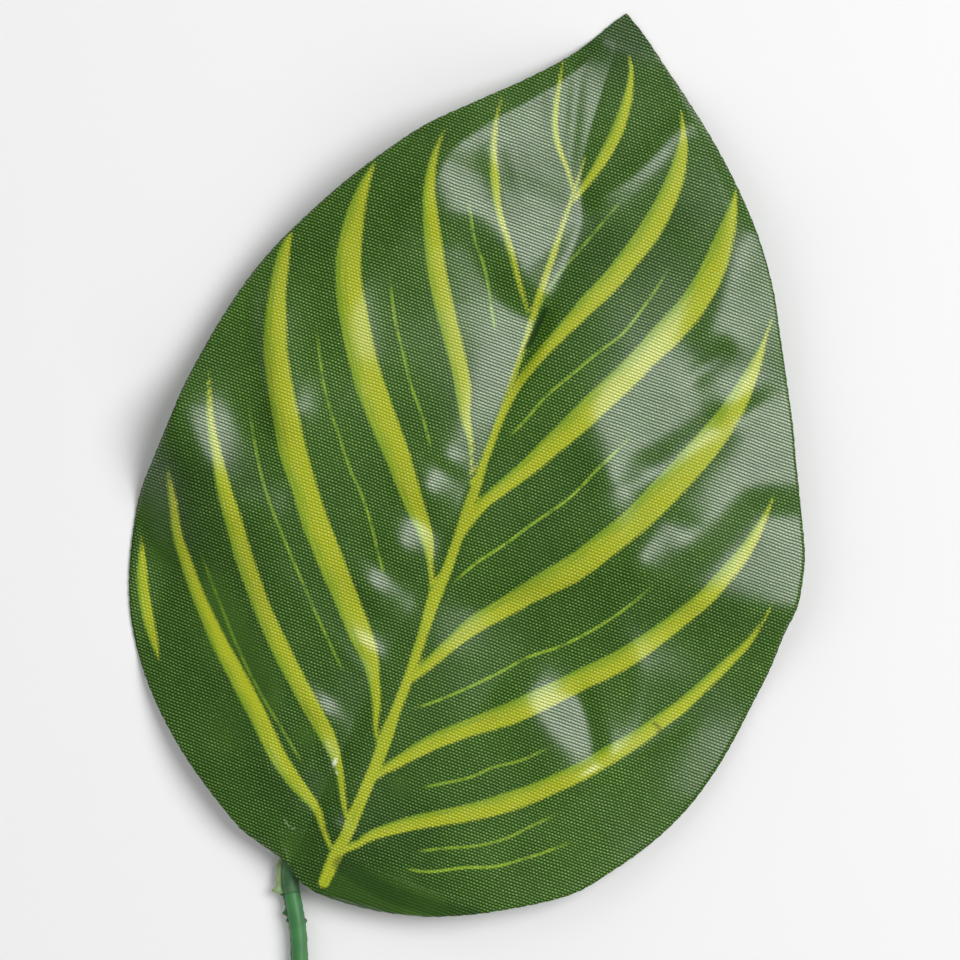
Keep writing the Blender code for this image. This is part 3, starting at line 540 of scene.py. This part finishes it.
def linear(r, g, b):  # a colour as seen on a screen, 0 to 255
    return tuple(((c / 255 + 0.055) / 1.055) ** 2.4 if c > 10 else c / 255 / 12.92 for c in (r, g, b))


cloth = {
    "weftPitch": 0.52,  # between rows of threads
    "floatPitch": 0.60,  # between bright floats along a row
    "turn": -1.0,  # degrees between the threads and the leaf's own axes
    "wander": (0.12, 0.5, 0.6),  # scale and reach of the threads' slow wander, along and across
    # the darker hole colours are painted shade between the threads, and the paler float colours here
    # and below are painted glints on the threads' tops
    "holeShade": linear(26, 58, 8), "ground": linear(63, 101, 24), "float": linear(132, 172, 84),
    # the next two shares darken the ground for painted shade and random cloudy tone, and lighten it for
    # painted sheen and random cloudy tone
    "shadeAndCloudDeep": (0.6, 0.66, 0.62), "sheenAndCloudPale": (1.3, 1.24, 1.3),  # shares of the ground's colour
    "stripeHoleShade": linear(136, 152, 8), "stripeGround": linear(182, 192, 22),
    "stripeFloatGlint": linear(222, 226, 116), "stripeDeep": linear(160, 176, 6),
    "stripeGreen": linear(116, 150, 18), "stripeGreenFloatGlint": linear(166, 192, 88),
    "hairline": linear(122, 158, 26), "hairFloatGlint": linear(204, 218, 112),
    # the pale mark colour stands for plastic melted through and for painted highlights on creases
    "meltAndGlint": linear(214, 222, 200),
    "backThread": linear(96, 128, 84), "backFloat": linear(142, 170, 126),
    "backStripe": linear(150, 166, 96), "backStripeFloat": linear(184, 196, 134),
    "rimDeep": linear(52, 74, 42), "rimPale": linear(112, 130, 96),
    "cloudScale": 0.09, "patchScale": 0.5, "mottleScale": 0.55, "fleckScale": 2.2, "unevenScale": 2.6,
    "rowScale": (0.22, 1.9), "streakScale": (0.12, 3.4),  # along and across
    "floatTone": (0.3, 0.34, 0.16, 0.34),  # least, then by patch, by row and by each float alone
    "smoothed": 0.7,  # how much of the weave the heat has closed
    "hairWidth": (0.1, 0.4), "hairReach": (0.9, 1.4),  # where a hairline starts to fade and is gone
    "coat": (0.08, 0.74),  # between the threads, and more on top of them
    "floatHeight": 0.0001, "backHeight": 0.00006,  # metres
}


def weave(finish):  # flat place, rows of threads, floats, one value for each float, and the two axes
    flat = finish.attribute("flatMm", "Vector")
    x = finish.node("ShaderNodeSeparateXYZ", {}, {0: flat})
    y = Sock(finish, x.out.node.outputs[1])
    scale, reachAlong, reachAcross = cloth["wander"]
    wander = finish.noise(flat, scale) - 0.5
    along, across = turned(x, y, cloth["turn"])
    along, across = along + wander * reachAlong, across + wander * reachAcross
    row = across / cloth["weftPitch"]
    number = row.apply("ROUND")
    column = along / cloth["floatPitch"] + number * 0.5
    threads, floats = (0.5 + 0.5 * (turns * (2 * math.pi)).apply("COSINE") for turns in (row, column))
    cell = finish.vector(column.apply("ROUND"), number)
    own = finish.node("ShaderNodeTexWhiteNoise", {"noise_dimensions": "2D"}, {"Vector": cell}, "Value")
    return flat, threads, floats, own, along, across


def clothTop():
    finish = Finish("printed cloth", Coat_Roughness=0.35, Coat_IOR=1.95, Specular_IOR_Level=0.15)
    flat, threads, floats, own, along, across = weave(finish)
    weaveSeen = threads * floats
    mottle = finish.step(finish.noise(flat, cloth["mottleScale"], 3.0), 0.3, 0.68)
    uneven = finish.noise(flat, cloth["unevenScale"]) - 0.5
    fleck = finish.noise(flat, cloth["fleckScale"]) - 0.5
    rowAlong, rowAcross = cloth["rowScale"]
    rowPlace = finish.vector(along * rowAlong, across * rowAcross)
    rowTone = finish.step(finish.noise(rowPlace, 1.0), 0.3, 0.7)
    smooth = finish.step(finish.attribute("printSmooth") + uneven * 0.4, 0.15, 0.75)
    clear = 1 - cloth["smoothed"] * smooth
    least, byPatch, byRow, byFloat = cloth["floatTone"]
    dots = finish.step(weaveSeen + uneven * 0.4 + own * 0.2, 0.46, 0.96)
    dots = dots * (least + byPatch * mottle + byRow * rowTone + byFloat * own) * clear
    holes = finish.step(weaveSeen + threads * 0.3 + uneven * 0.2, 0.46, 0.04) * clear
    # the stripes, with streaks of ink along them
    side = finish.attribute("stripeAcross")
    runScale, sideScale = cloth["streakScale"]
    inkPlace = finish.vector(finish.attribute("stripeAlong") * runScale, side * sideScale)
    streak = finish.noise(inkPlace, 1.0, 4.0, 0.6) - 0.5
    stripe = finish.attribute("stripeInside") + fleck * 0.6 + streak * 0.7 + (dots - 0.4) * 0.2
    stripe = finish.step(stripe, -0.34, 0.28)
    # the hairlines, broken here and there
    full, gone = cloth["hairWidth"]
    hair = finish.step(finish.attribute("hairSigned").apply("ABSOLUTE") + fleck * 0.25, gone, full)
    near, far = cloth["hairReach"]
    broken = 0.4 + 0.6 * finish.step(finish.noise(flat, cloth["patchScale"]), 0.35, 0.55)
    hair = hair * finish.step(finish.attribute("hairNear"), far, near)
    hair = hair * finish.attribute("hairStrength") * broken * 1.15
    # painted shade and painted sheen from the listed spots, with a random cloud of tone over them
    tone = finish.attribute("paintedShadeAndSheen") + (finish.noise(flat, cloth["cloudScale"], 3.0) - 0.5) * 1.2
    mark = finish.attribute("creaseLightAndMarks") + fleck * 0.2
    # holes darken to painted shade between the threads and floats pale to painted glints on their tops,
    # here and in the stripe and hairline colours
    ground = finish.mix(dots, finish.mix(holes, cloth["ground"], cloth["holeShade"]), cloth["float"])
    shadeAndCloudDeep = finish.mix(1.0, ground, cloth["shadeAndCloudDeep"], "MULTIPLY")
    sheenAndCloudPale = finish.mix(1.0, ground, cloth["sheenAndCloudPale"], "MULTIPLY")
    ground = finish.mix(finish.step(tone, 0.1, -0.6), ground, shadeAndCloudDeep)
    ground = finish.mix(finish.step(tone, -0.1, 0.6), ground, sheenAndCloudPale)
    ground = finish.mix(hair, ground, finish.mix(dots, cloth["hairline"], cloth["hairFloatGlint"]))
    yellow = finish.mix(holes, cloth["stripeGround"], cloth["stripeHoleShade"])
    yellow = finish.mix(dots, yellow, cloth["stripeFloatGlint"])
    deep = finish.mix(dots, cloth["stripeDeep"], cloth["stripeFloatGlint"])
    yellow = finish.mix(finish.step(streak, 0.02, 0.2) * 0.6, yellow, deep)
    green = finish.mix(dots, cloth["stripeGreen"], cloth["stripeGreenFloatGlint"])
    yellow = finish.mix(finish.step(side + streak * 2.2, -0.2, 1.1), yellow, green)
    colour = finish.mix(stripe, ground, yellow)
    # dark marks, mostly painted shade in creases and in the groove; pale marks are melted plastic and
    # painted highlights on creases
    colour = finish.mix(finish.step(mark, -0.15, -0.9), colour, cloth["holeShade"])
    colour = finish.mix(finish.step(mark, 0.25, 0.9), colour, cloth["meltAndGlint"])
    finish.feed("Base Color", colour)
    finish.feed("Roughness", 0.7 - dots * 0.2)
    between, onTop = cloth["coat"]
    finish.feed("Coat Weight", between + (threads**0.8) * onTop * (0.8 + 0.2 * rowTone))
    finish.raised(threads * 0.45 + dots * 0.55, cloth["floatHeight"])
    return finish.material


def clothBack():
    finish = Finish("cloth back", Roughness=0.6, Coat_Roughness=0.4)
    _, threads, floats, *_ = weave(finish)
    dots = finish.step((threads**0.8) * ((1 - floats) ** 0.7), 0.25, 0.85)
    colour = finish.mix(dots, cloth["backThread"], cloth["backFloat"])
    through = finish.mix(dots, cloth["backStripe"], cloth["backStripeFloat"])
    seen = finish.step(finish.attribute("stripeInside"), -0.5, 0.5) * 0.6
    finish.feed("Base Color", finish.mix(seen, colour, through))
    finish.feed("Coat Weight", 0.1 + dots * 0.3)
    finish.raised(threads * 0.5 + dots * 0.5, cloth["backHeight"], 0.5)
    return finish.material


def clothRim():
    finish = Finish("cut edge of the cloth", Roughness=0.85)
    fuzz = finish.noise(finish.attribute("flatMm", "Vector"), 3.0, 3.0)
    finish.feed("Base Color", finish.mix(fuzz, cloth["rimDeep"], cloth["rimPale"]))
    return finish.material


moulding = {  # what both plastics share, in metres where it is a length
    "grainScale": 2600.0, "grainHeight": 0.00008, "grainStrength": 0.25, "glowDepth": 0.002,
    "cloudiness": 0.2,
}


def plastic(name, look):  # thin parts look paler than thick ones
    finish = Finish(name, Roughness=0.5, Coat_Weight=0.08, Coat_Roughness=0.4,
                    Subsurface_Weight=0.2, Subsurface_Scale=moulding["glowDepth"])
    where = finish.node("ShaderNodeTexCoord", out="Object")
    cloud = finish.noise(where, look["cloudScale"], 3.0, 0.6)
    uneven = moulding["cloudiness"]
    pale = finish.attribute("thinness") + finish.step(cloud, 0.35, 0.65) * uneven - uneven / 2
    finish.feed("Base Color", finish.mix(pale, look["deep"], look["pale"]))
    grain = finish.noise(where, moulding["grainScale"])
    finish.raised(grain, moulding["grainHeight"], moulding["grainStrength"])
    return finish.material


def place(piece):
    bpy.context.scene.collection.objects.link(piece)
    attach(piece, "root")
    return piece


def surfaceNormals(grid, heights):
    tall = np.dstack([grid, heights])
    down = np.gradient(tall, axis=0)
    over = np.gradient(tall, axis=1)
    normal = np.cross(over, down)
    return normal / np.linalg.norm(normal, axis=2, keepdims=True)


def soften(heights, passes):  # rounds the folds over about one cell of the grid
    for _ in range(passes):
        heights[1:-1] = 0.25 * heights[:-2] + 0.5 * heights[1:-1] + 0.25 * heights[2:]
        heights[:, 1:-1] = 0.25 * heights[:, :-2] + 0.5 * heights[:, 1:-1] + 0.25 * heights[:, 2:]
    return heights


def makeBlade():
    grid = bladeGrid()
    heights = soften(bladeHeight(grid[..., 0], grid[..., 1]), blade["softenPasses"])
    normal = surfaceNormals(grid, heights)
    rows, columns = heights.shape
    half = blade["thickness"] / 2
    middle = np.dstack([grid, heights])
    ends = np.array([blade["baseCorner"], blade["tip"]], float)
    endPoints = np.column_stack([ends, bladeHeight(ends[:, 0], ends[:, 1])])
    top = np.vstack([(middle + normal * half).reshape(-1, 3), endPoints + (0, 0, half)])
    low = np.vstack([(middle - normal * half).reshape(-1, 3), endPoints - (0, 0, half)])
    count = len(top)
    index = np.arange(rows * columns).reshape(rows, columns)
    quads = np.dstack([index[:-1, :-1], index[:-1, 1:], index[1:, 1:], index[1:, :-1]]).reshape(-1, 4)
    base, tip = rows * columns, rows * columns + 1
    fans = [(base, b, a) for a, b in zip(index[0, :-1], index[0, 1:])]
    fans += [(tip, a, b) for a, b in zip(index[-1, :-1], index[-1, 1:])]
    loop = [base, *index[:, -1], tip, *index[::-1, 0]]  # the margin, from the base by the right side
    faces = [tuple(q) for q in quads] + fans
    topCount = len(faces)
    faces += [tuple(i + count for i in reversed(f)) for f in faces]
    faces += [(a, a + count, b + count, b) for a, b in zip(loop, loop[1:] + loop[:1])]
    mesh = bpy.data.meshes.new("clothBlade")
    mesh.from_pydata(toPart(np.vstack([top, low])).tolist(), [], faces)
    for material in (clothTop(), clothBack(), clothRim()):
        mesh.materials.append(material)
    slots = np.zeros(len(faces), np.int32)
    slots[topCount:2 * topCount] = 1
    slots[2 * topCount:] = 2
    mesh.polygons.foreach_set("material_index", slots)
    flat = np.vstack([grid.reshape(-1, 2), ends] * 2)  # once for the top and once for the back
    x, y = flat[:, 0], flat[:, 1]
    inside, across, along = stripeFields(x, y)
    signed, near, strength = hairFields(x, y)
    values = {
        "paintedShadeAndSheen": spotField(printed["shadeAndSheen"], x, y), "creaseLightAndMarks": markField(x, y),
        "printSmooth": spotField(printed["smooth"], x, y), "stripeInside": inside,
        "stripeAcross": across, "stripeAlong": along, "hairSigned": signed, "hairNear": near,
        "hairStrength": strength}
    for name, value in values.items():
        mesh.attributes.new(name, "FLOAT", "POINT").data.foreach_set("value", value.astype(np.float32))
    print("print: stripes", len(printed["stripes"]), "hairlines", len(printed["hairlines"]))
    vectors = np.column_stack([flat, np.zeros(len(flat))]).astype(np.float32).reshape(-1)
    mesh.attributes.new("flatMm", "FLOAT_VECTOR", "POINT").data.foreach_set("vector", vectors)
    mesh.shade_smooth()
    mesh.validate()
    piece = place(bpy.data.objects.new("clothBlade", mesh))
    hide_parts("leaf_blade")
    print("blade: faces", len(faces))


skeleton = {
    "deep": linear(48, 96, 56), "pale": linear(140, 172, 122), "cloudScale": 300.0,
    "step": 0.7, "ringPoints": 9,
    "sink": 0.1,  # how far a rib's top is bonded into the cloth
    "midribWidth": (2.6, 1.1), "midribDepth": (2.0, 0.8), "midribEnds": (6.5, 152.0),
    "sideWidth": (1.5, 0.8), "sideDepth": (1.2, 0.7),
    "bulge": 0.12, "roundness": 0.8, "endShare": 0.35,  # of a rib's section, and of its last one
    "thinness": {"midrib": 0.6, "side": 0.7, "collar": 0.12, "flash": 0.95},
    "sideRibs": [
        [(-5.2, 20), (-14, 27), (-26, 35.5), (-36, 46)],
        [(-3.4, 38), (-14, 44), (-29, 54), (-39, 67)],
        [(-0.6, 60), (-13, 67), (-27, 77), (-36, 91)],
        [(1.6, 82), (-9, 90), (-21, 101), (-28, 113)],
        [(3.3, 102), (-7, 112), (-14, 121), (-18, 130)],
        [(-5.7, 13), (18, 21), (36, 33), (47, 46)],
        [(-3.4, 38), (6, 41), (21, 48), (36, 58), (45, 67)],
        [(-0.9, 57), (14, 61), (30, 69), (42, 80)],
        [(1.2, 77), (15, 82), (29, 92), (38, 106)],
        [(3.5, 100), (13, 106), (21, 116), (25, 127)],
        [(4.1, 122), (9, 129), (13, 137), (15, 143)]],
    "neck": [(-6.1, 11.4, 3.4, 2.2), (-6.7, 8.8, 2.6, 2.7)],  # x, y, height, diameter
    "collarLength": 8.0, "collarDiameter": 3.05, "collarBore": 2.1, "collarStep": 0.25,
    "boredStations": 18,  # of the collar, counted from its mouth
    "mouth": [(0, 1), (6.6, 1), (7.6, 0.95), (8.0, 0.92)],  # the collar's taper: distance, share
}

stem = {
    "deep": linear(46, 94, 56), "pale": linear(82, 150, 86), "cloudScale": 260.0,
    "axis": [
        (-7.0, 6.2), (-6.75, 3.4), (-6.1, 0.6), (-4.55, -2.5), (-2.8, -5.6), (-1.45, -8.4),
        (-0.1, -11.8), (1.9, -17.0), (4.3, -25.0), (6.0, -36.0), (5.6, -48.0), (3.0, -61.0)],
    "height": 2.05, "axisStep": 0.25, "step": 0.35,
    "thinness": {"body": 0.5, "flash": 0.25},
    "diameter": 2.75, "uneven": 0.03, "pegDiameter": 1.4, "pegStart": 3.8, "pegGap": 0.2,
    "bodyGap": 0.05,  # between the collar's mouth and the stem's shoulder
    "wireStart": 12.0, "wireBore": 1.5, "flashStep": 0.12, "flashRoot": 0.35,
    # flash along the two sides, from the collar's start: (distance, how far it stands out)
    "collarFlash": [
        (1.0, 0.2), (2.3, 0.45), (3.0, 0.75), (3.9, 1.0), (4.6, 0.85), (5.1, 0.72), (5.7, 1.0),
        (6.2, 0.85), (6.7, 0.95), (7.1, 1.6), (7.35, 1.9), (7.6, 1.5), (7.95, 0.9)],
    "leftFlash": [
        (8.05, 0.85), (8.3, 0.55), (8.6, 0.2), (9.0, 0.22), (9.4, 0.08), (9.9, 0.2), (10.4, 0.08),
        (10.9, 0.35), (11.2, 0.8), (11.5, 0.85), (11.9, 0.25), (12.3, 0.12), (12.7, 0.45),
        (12.95, 0.42), (13.2, 0.06), (14, 0.1), (15, 0.04), (16, 0.12), (17, 0.05), (18.5, 0.12),
        (20, 0.05), (22, 0.35), (22.6, 0.1), (25, 0.08), (27.5, 0.3), (28.2, 0.06), (32, 0.12),
        (35, 0.05), (38, 0.4), (38.8, 0.1), (44, 0.08), (49, 0.3), (50, 0.06), (57, 0.2), (63, 0.05),
        (70, 0.1)],
    "rightFlash": [
        (8.05, 0.1), (9.5, 0.05), (10.6, 0.12), (11.6, 0.05), (12.0, 0.12), (12.8, 0.08), (13.2, 0.42),
        (13.5, 0.38), (13.75, 0.1), (15, 0.05), (16.2, 0.14), (17.5, 0.05), (19, 0.12), (21, 0.05),
        (24, 0.25), (24.6, 0.05), (30, 0.1), (33.5, 0.3), (34.2, 0.05), (41, 0.12), (46, 0.35),
        (46.7, 0.08), (55, 0.1), (60, 0.3), (61, 0.06), (70, 0.1)],
}


def sweep(centres, rings):  # a closed tube through rings of (sideways, up) points
    centres, rings = np.asarray(centres, float), np.asarray(rings, float)
    run = np.gradient(centres, axis=0)
    run /= np.linalg.norm(run, axis=1, keepdims=True)
    side = np.cross(run, (0, 0, 1.0))
    side /= np.linalg.norm(side, axis=1, keepdims=True)
    up = np.cross(side, run)
    points = centres[:, None] + side[:, None] * rings[..., :1] + up[:, None] * rings[..., 1:]
    count, total = rings.shape[1], len(centres)
    index = np.arange(total * count).reshape(total, count)
    after = np.roll(index, -1, axis=1)
    faces = [tuple(f) for f in np.dstack([index[:-1], after[:-1], after[1:], index[1:]]).reshape(-1, 4)]
    faces += [tuple(index[0][::-1]), tuple(index[-1])]
    return points.reshape(-1, 3), faces


def addTubes(name, tubes, material):  # tubes: points, faces and how thin the whole tube looks
    shape = bmesh.new()
    thinness = shape.verts.layers.float.new("thinness")
    for points, faces, thin in tubes:
        made = [shape.verts.new(point) for point in toPart(points)]
        for vert in made:
            vert[thinness] = thin
        for face in faces:
            shape.faces.new([made[i] for i in face])
    bmesh.ops.recalc_face_normals(shape, faces=shape.faces[:])
    mesh = bpy.data.meshes.new(name)
    shape.to_mesh(mesh)
    shape.free()
    mesh.materials.append(material)
    mesh.shade_smooth()
    return place(bpy.data.objects.new(name, mesh))


def ribTube(line, widths, depths):
    share = np.linspace(0, 1, len(line))
    width = widths[0] + (widths[1] - widths[0]) * share
    depth = depths[0] + (depths[1] - depths[0]) * share
    run = np.gradient(line, axis=0)
    run /= np.linalg.norm(run, axis=1, keepdims=True)
    across = np.column_stack([run[:, 1], -run[:, 0]]) * 0.5 * width[:, None]
    lowest = np.min([bladeHeight(*(line + across * t).T) for t in (-1, -0.5, 0, 0.5, 1)], axis=0)
    top = lowest - blade["thickness"] / 2 + skeleton["sink"]
    turn = np.linspace(0, math.pi, skeleton["ringPoints"])
    wide = np.cos(turn) * (1 + skeleton["bulge"] * np.sin(turn))
    ring = np.column_stack([wide, -np.sin(turn) ** skeleton["roundness"]])
    rings = np.stack([ring[None, :, 0] * width[:, None] / 2, ring[None, :, 1] * depth[:, None]], axis=2)
    rings[-1] *= skeleton["endShare"]
    return sweep(np.column_stack([line, top]), rings)


def roundRing(diameter, sides=24):
    turn = np.linspace(0, 2 * math.pi, sides, endpoint=False)
    return np.column_stack([np.cos(turn), np.sin(turn)]) * diameter / 2


def stemLine(start, end, step):  # stations from one distance along the stem's axis to another
    line = smoothPath(stem["axis"], stem["axisStep"])
    end = min(end, lengthsAlong(line)[-1])
    at = np.linspace(start, end, max(2, round((end - start) / step) + 1))
    return at, np.column_stack([pointsAt(line, at), np.full(len(at), stem["height"])])


def hollowTube(centres, outer, bore, depth):  # a tube whose end is bored to this many stations from it
    points, faces = sweep(centres, outer)
    inner, innerFaces = sweep(centres[-depth:], [bore] * depth)
    count, sides = len(outer[0]), len(bore)
    faces = faces[:-1]
    start = len(points)
    faces += [tuple(start + i for i in reversed(f)) for f in innerFaces[:-1]]
    lastOut = len(points) - count
    lastIn = start + len(inner) - sides
    for i in range(count):
        after = (i + 1) % count
        faces.append((lastOut + i, lastOut + after, lastIn + after, lastIn + i))
    return np.vstack([points, inner]), faces


def flashTube(table, side, radius):  # a thin ragged fin where the halves of the mould met
    at, centres = stemLine(table[0][0], table[-1][0], stem["flashStep"])
    reach = np.interp(at, [row[0] for row in table], [row[1] for row in table])
    ragged = 0.035 * np.sin(at * 9.1) * np.sin(at * 3.7 + 1.0) + 0.02 * np.sin(at * 23.0)
    out = radius + np.maximum(reach + ragged, 0.02)
    ring = np.array([(0.0, 0.2), (1.0, 0.05), (1.0, -0.05), (0.0, -0.2)])
    sideways = np.where(ring[None, :, 0] > 0, out[:, None], radius - stem["flashRoot"]) * side
    return sweep(centres, np.stack([sideways, np.tile(ring[:, 1], (len(at), 1))], axis=2))


def makeSkeleton():
    along = np.arange(*skeleton["midribEnds"], skeleton["step"])
    midrib = np.column_stack([smoothTable(blade["groove"], along), along])
    thin = skeleton["thinness"]
    tubes = [(*ribTube(midrib, skeleton["midribWidth"], skeleton["midribDepth"]), thin["midrib"])]
    for points in skeleton["sideRibs"]:
        line = smoothPath(points, skeleton["step"])
        tubes.append((*ribTube(line, skeleton["sideWidth"], skeleton["sideDepth"]), thin["side"]))
    at, collar = stemLine(0, skeleton["collarLength"], skeleton["collarStep"])
    neck, wide = np.array(skeleton["neck"]), skeleton["collarDiameter"]
    join = smoothPath(np.vstack([neck[:, :3], collar[:1]]), 0.5)[:-1]
    sizes = np.interp(np.linspace(0, 1, len(join)), [0, 0.5, 1], [*neck[:, 3], wide])
    mouth = wide * np.interp(at, *zip(*skeleton["mouth"]))
    rings = [roundRing(size) for size in [*sizes, *mouth]]
    bore = roundRing(skeleton["collarBore"])
    socket = hollowTube(np.vstack([join, collar]), rings, bore, skeleton["boredStations"])
    tubes.append((*socket, thin["collar"]))
    tubes.append((*flashTube(stem["collarFlash"], 1, wide / 2), thin["flash"]))
    piece = addTubes("ribSkeleton", tubes, plastic("pale green plastic", skeleton))
    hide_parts("rib_skeleton")
    print("skeleton: ribs", len(skeleton["sideRibs"]) + 1)


def makeStem():
    start, step, wide = skeleton["collarLength"], stem["step"], stem["diameter"]
    _, peg = stemLine(stem["pegStart"], start - stem["pegGap"], step)
    far, body = stemLine(start + stem["bodyGap"], math.inf, step)
    size = wide * (1 + stem["uneven"] * np.sin(far * 0.9) * np.sin(far * 0.37 + 0.5))
    size[:3] *= (0.97, 0.99, 1.0)  # the shoulder's rounding
    rings = [roundRing(stem["pegDiameter"])] * len(peg) + [roundRing(d) for d in size]
    bored = int((far[-1] - stem["wireStart"]) / step)
    rod = hollowTube(np.vstack([peg, body]), rings, roundRing(stem["wireBore"]), bored)
    tubes = [(*rod, stem["thinness"]["body"])]
    for table, side in (("leftFlash", 1), ("rightFlash", -1)):
        tubes.append((*flashTube(stem[table], side, wide / 2), stem["thinness"]["flash"]))
    piece = addTubes("plasticStem", tubes, plastic("stem green plastic", stem))
    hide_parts("stem")
    print("stem: length", round(float(far[-1] - start), 1), "mm")


wire = {"dark": (0.38, 0.38, 0.36), "bright": (0.62, 0.62, 0.6), "grainScale": 3000.0}


def finishWire():
    finish = Finish("drawn steel wire", Metallic=1.0, Roughness=0.35)
    grain = finish.noise(finish.node("ShaderNodeTexCoord", out="Object"), wire["grainScale"])
    finish.feed("Base Color", finish.mix(grain, wire["dark"], wire["bright"]))
    for slot in bpy.data.objects["stem_wire"].material_slots:
        slot.material = finish.material
    print("wire: steel")


makeBlade()
makeSkeleton()
makeStem()
finishWire()

studio = {
    "floorColour": (0.86, 0.86, 0.86), "floorSize": 6.0,
    "world": 0.03,
    # each lamp: turn round the leaf, height over the floor (degrees), size (m), strength (W)
    "lamps": [(38, 54, 0.85, 12.5), (128, 36, 1.4, 4.3), (218, 36, 1.4, 4.3), (308, 36, 1.4, 4.3)],
    "distance": 1.2,
    "lens": 200.0, "sensor": 36.0,
    "viewCentre": (2.4, 75.9), "viewWidth": 164.16, "roll": 19.06,
    "leafHeight": 6.0,  # where the lamps and the focus lie
}


def makeStudio():
    scene = bpy.context.scene
    scene.view_settings.view_transform = "Standard"
    bpy.ops.mesh.primitive_plane_add(size=studio["floorSize"], location=(0, 0, 0))
    floor = bpy.context.object
    floor.name = "floor"
    finish = Finish("pale floor", Roughness=0.9, Specular_IOR_Level=0.1)
    finish.shader.inputs["Base Color"].default_value = (*studio["floorColour"], 1)
    floor.data.materials.append(finish.material)
    world = bpy.data.worlds.new("studio")
    world.use_nodes = True
    world.node_tree.nodes["Background"].inputs["Color"].default_value = (1, 1, 1, 1)
    world.node_tree.nodes["Background"].inputs["Strength"].default_value = studio["world"]
    scene.world = world
    aim = Vector(toPart([*studio["viewCentre"], studio["leafHeight"]]))
    for number, (turn, rise, size, power) in enumerate(studio["lamps"]):
        lamp = bpy.data.lights.new(f"lamp{number}", "AREA")
        lamp.shape, lamp.size, lamp.energy = "DISK", size, power
        holder = bpy.data.objects.new(f"lamp{number}", lamp)
        scene.collection.objects.link(holder)
        a, e = math.radians(turn), math.radians(rise)
        away = Vector((math.cos(a) * math.cos(e), math.sin(a) * math.cos(e), math.sin(e)))
        holder.location = aim + away * studio["distance"]
        holder.visible_glossy = number == 0  # only the first lamp is seen in the gloss
        holder.rotation_euler = away.to_track_quat("Z", "Y").to_euler()
    camera = bpy.data.cameras.new("camera")
    camera.lens, camera.sensor_width, camera.clip_end = studio["lens"], studio["sensor"], 10.0
    holder = bpy.data.objects.new("camera", camera)
    scene.collection.objects.link(holder)
    away = studio["leafHeight"] + studio["viewWidth"] * studio["lens"] / studio["sensor"]
    holder.location = toPart([*studio["viewCentre"], away])
    holder.rotation_euler = (0, 0, math.radians(studio["roll"]))
    scene.camera = holder
    print("studio: lamps", len(studio["lamps"]))


makeStudio()
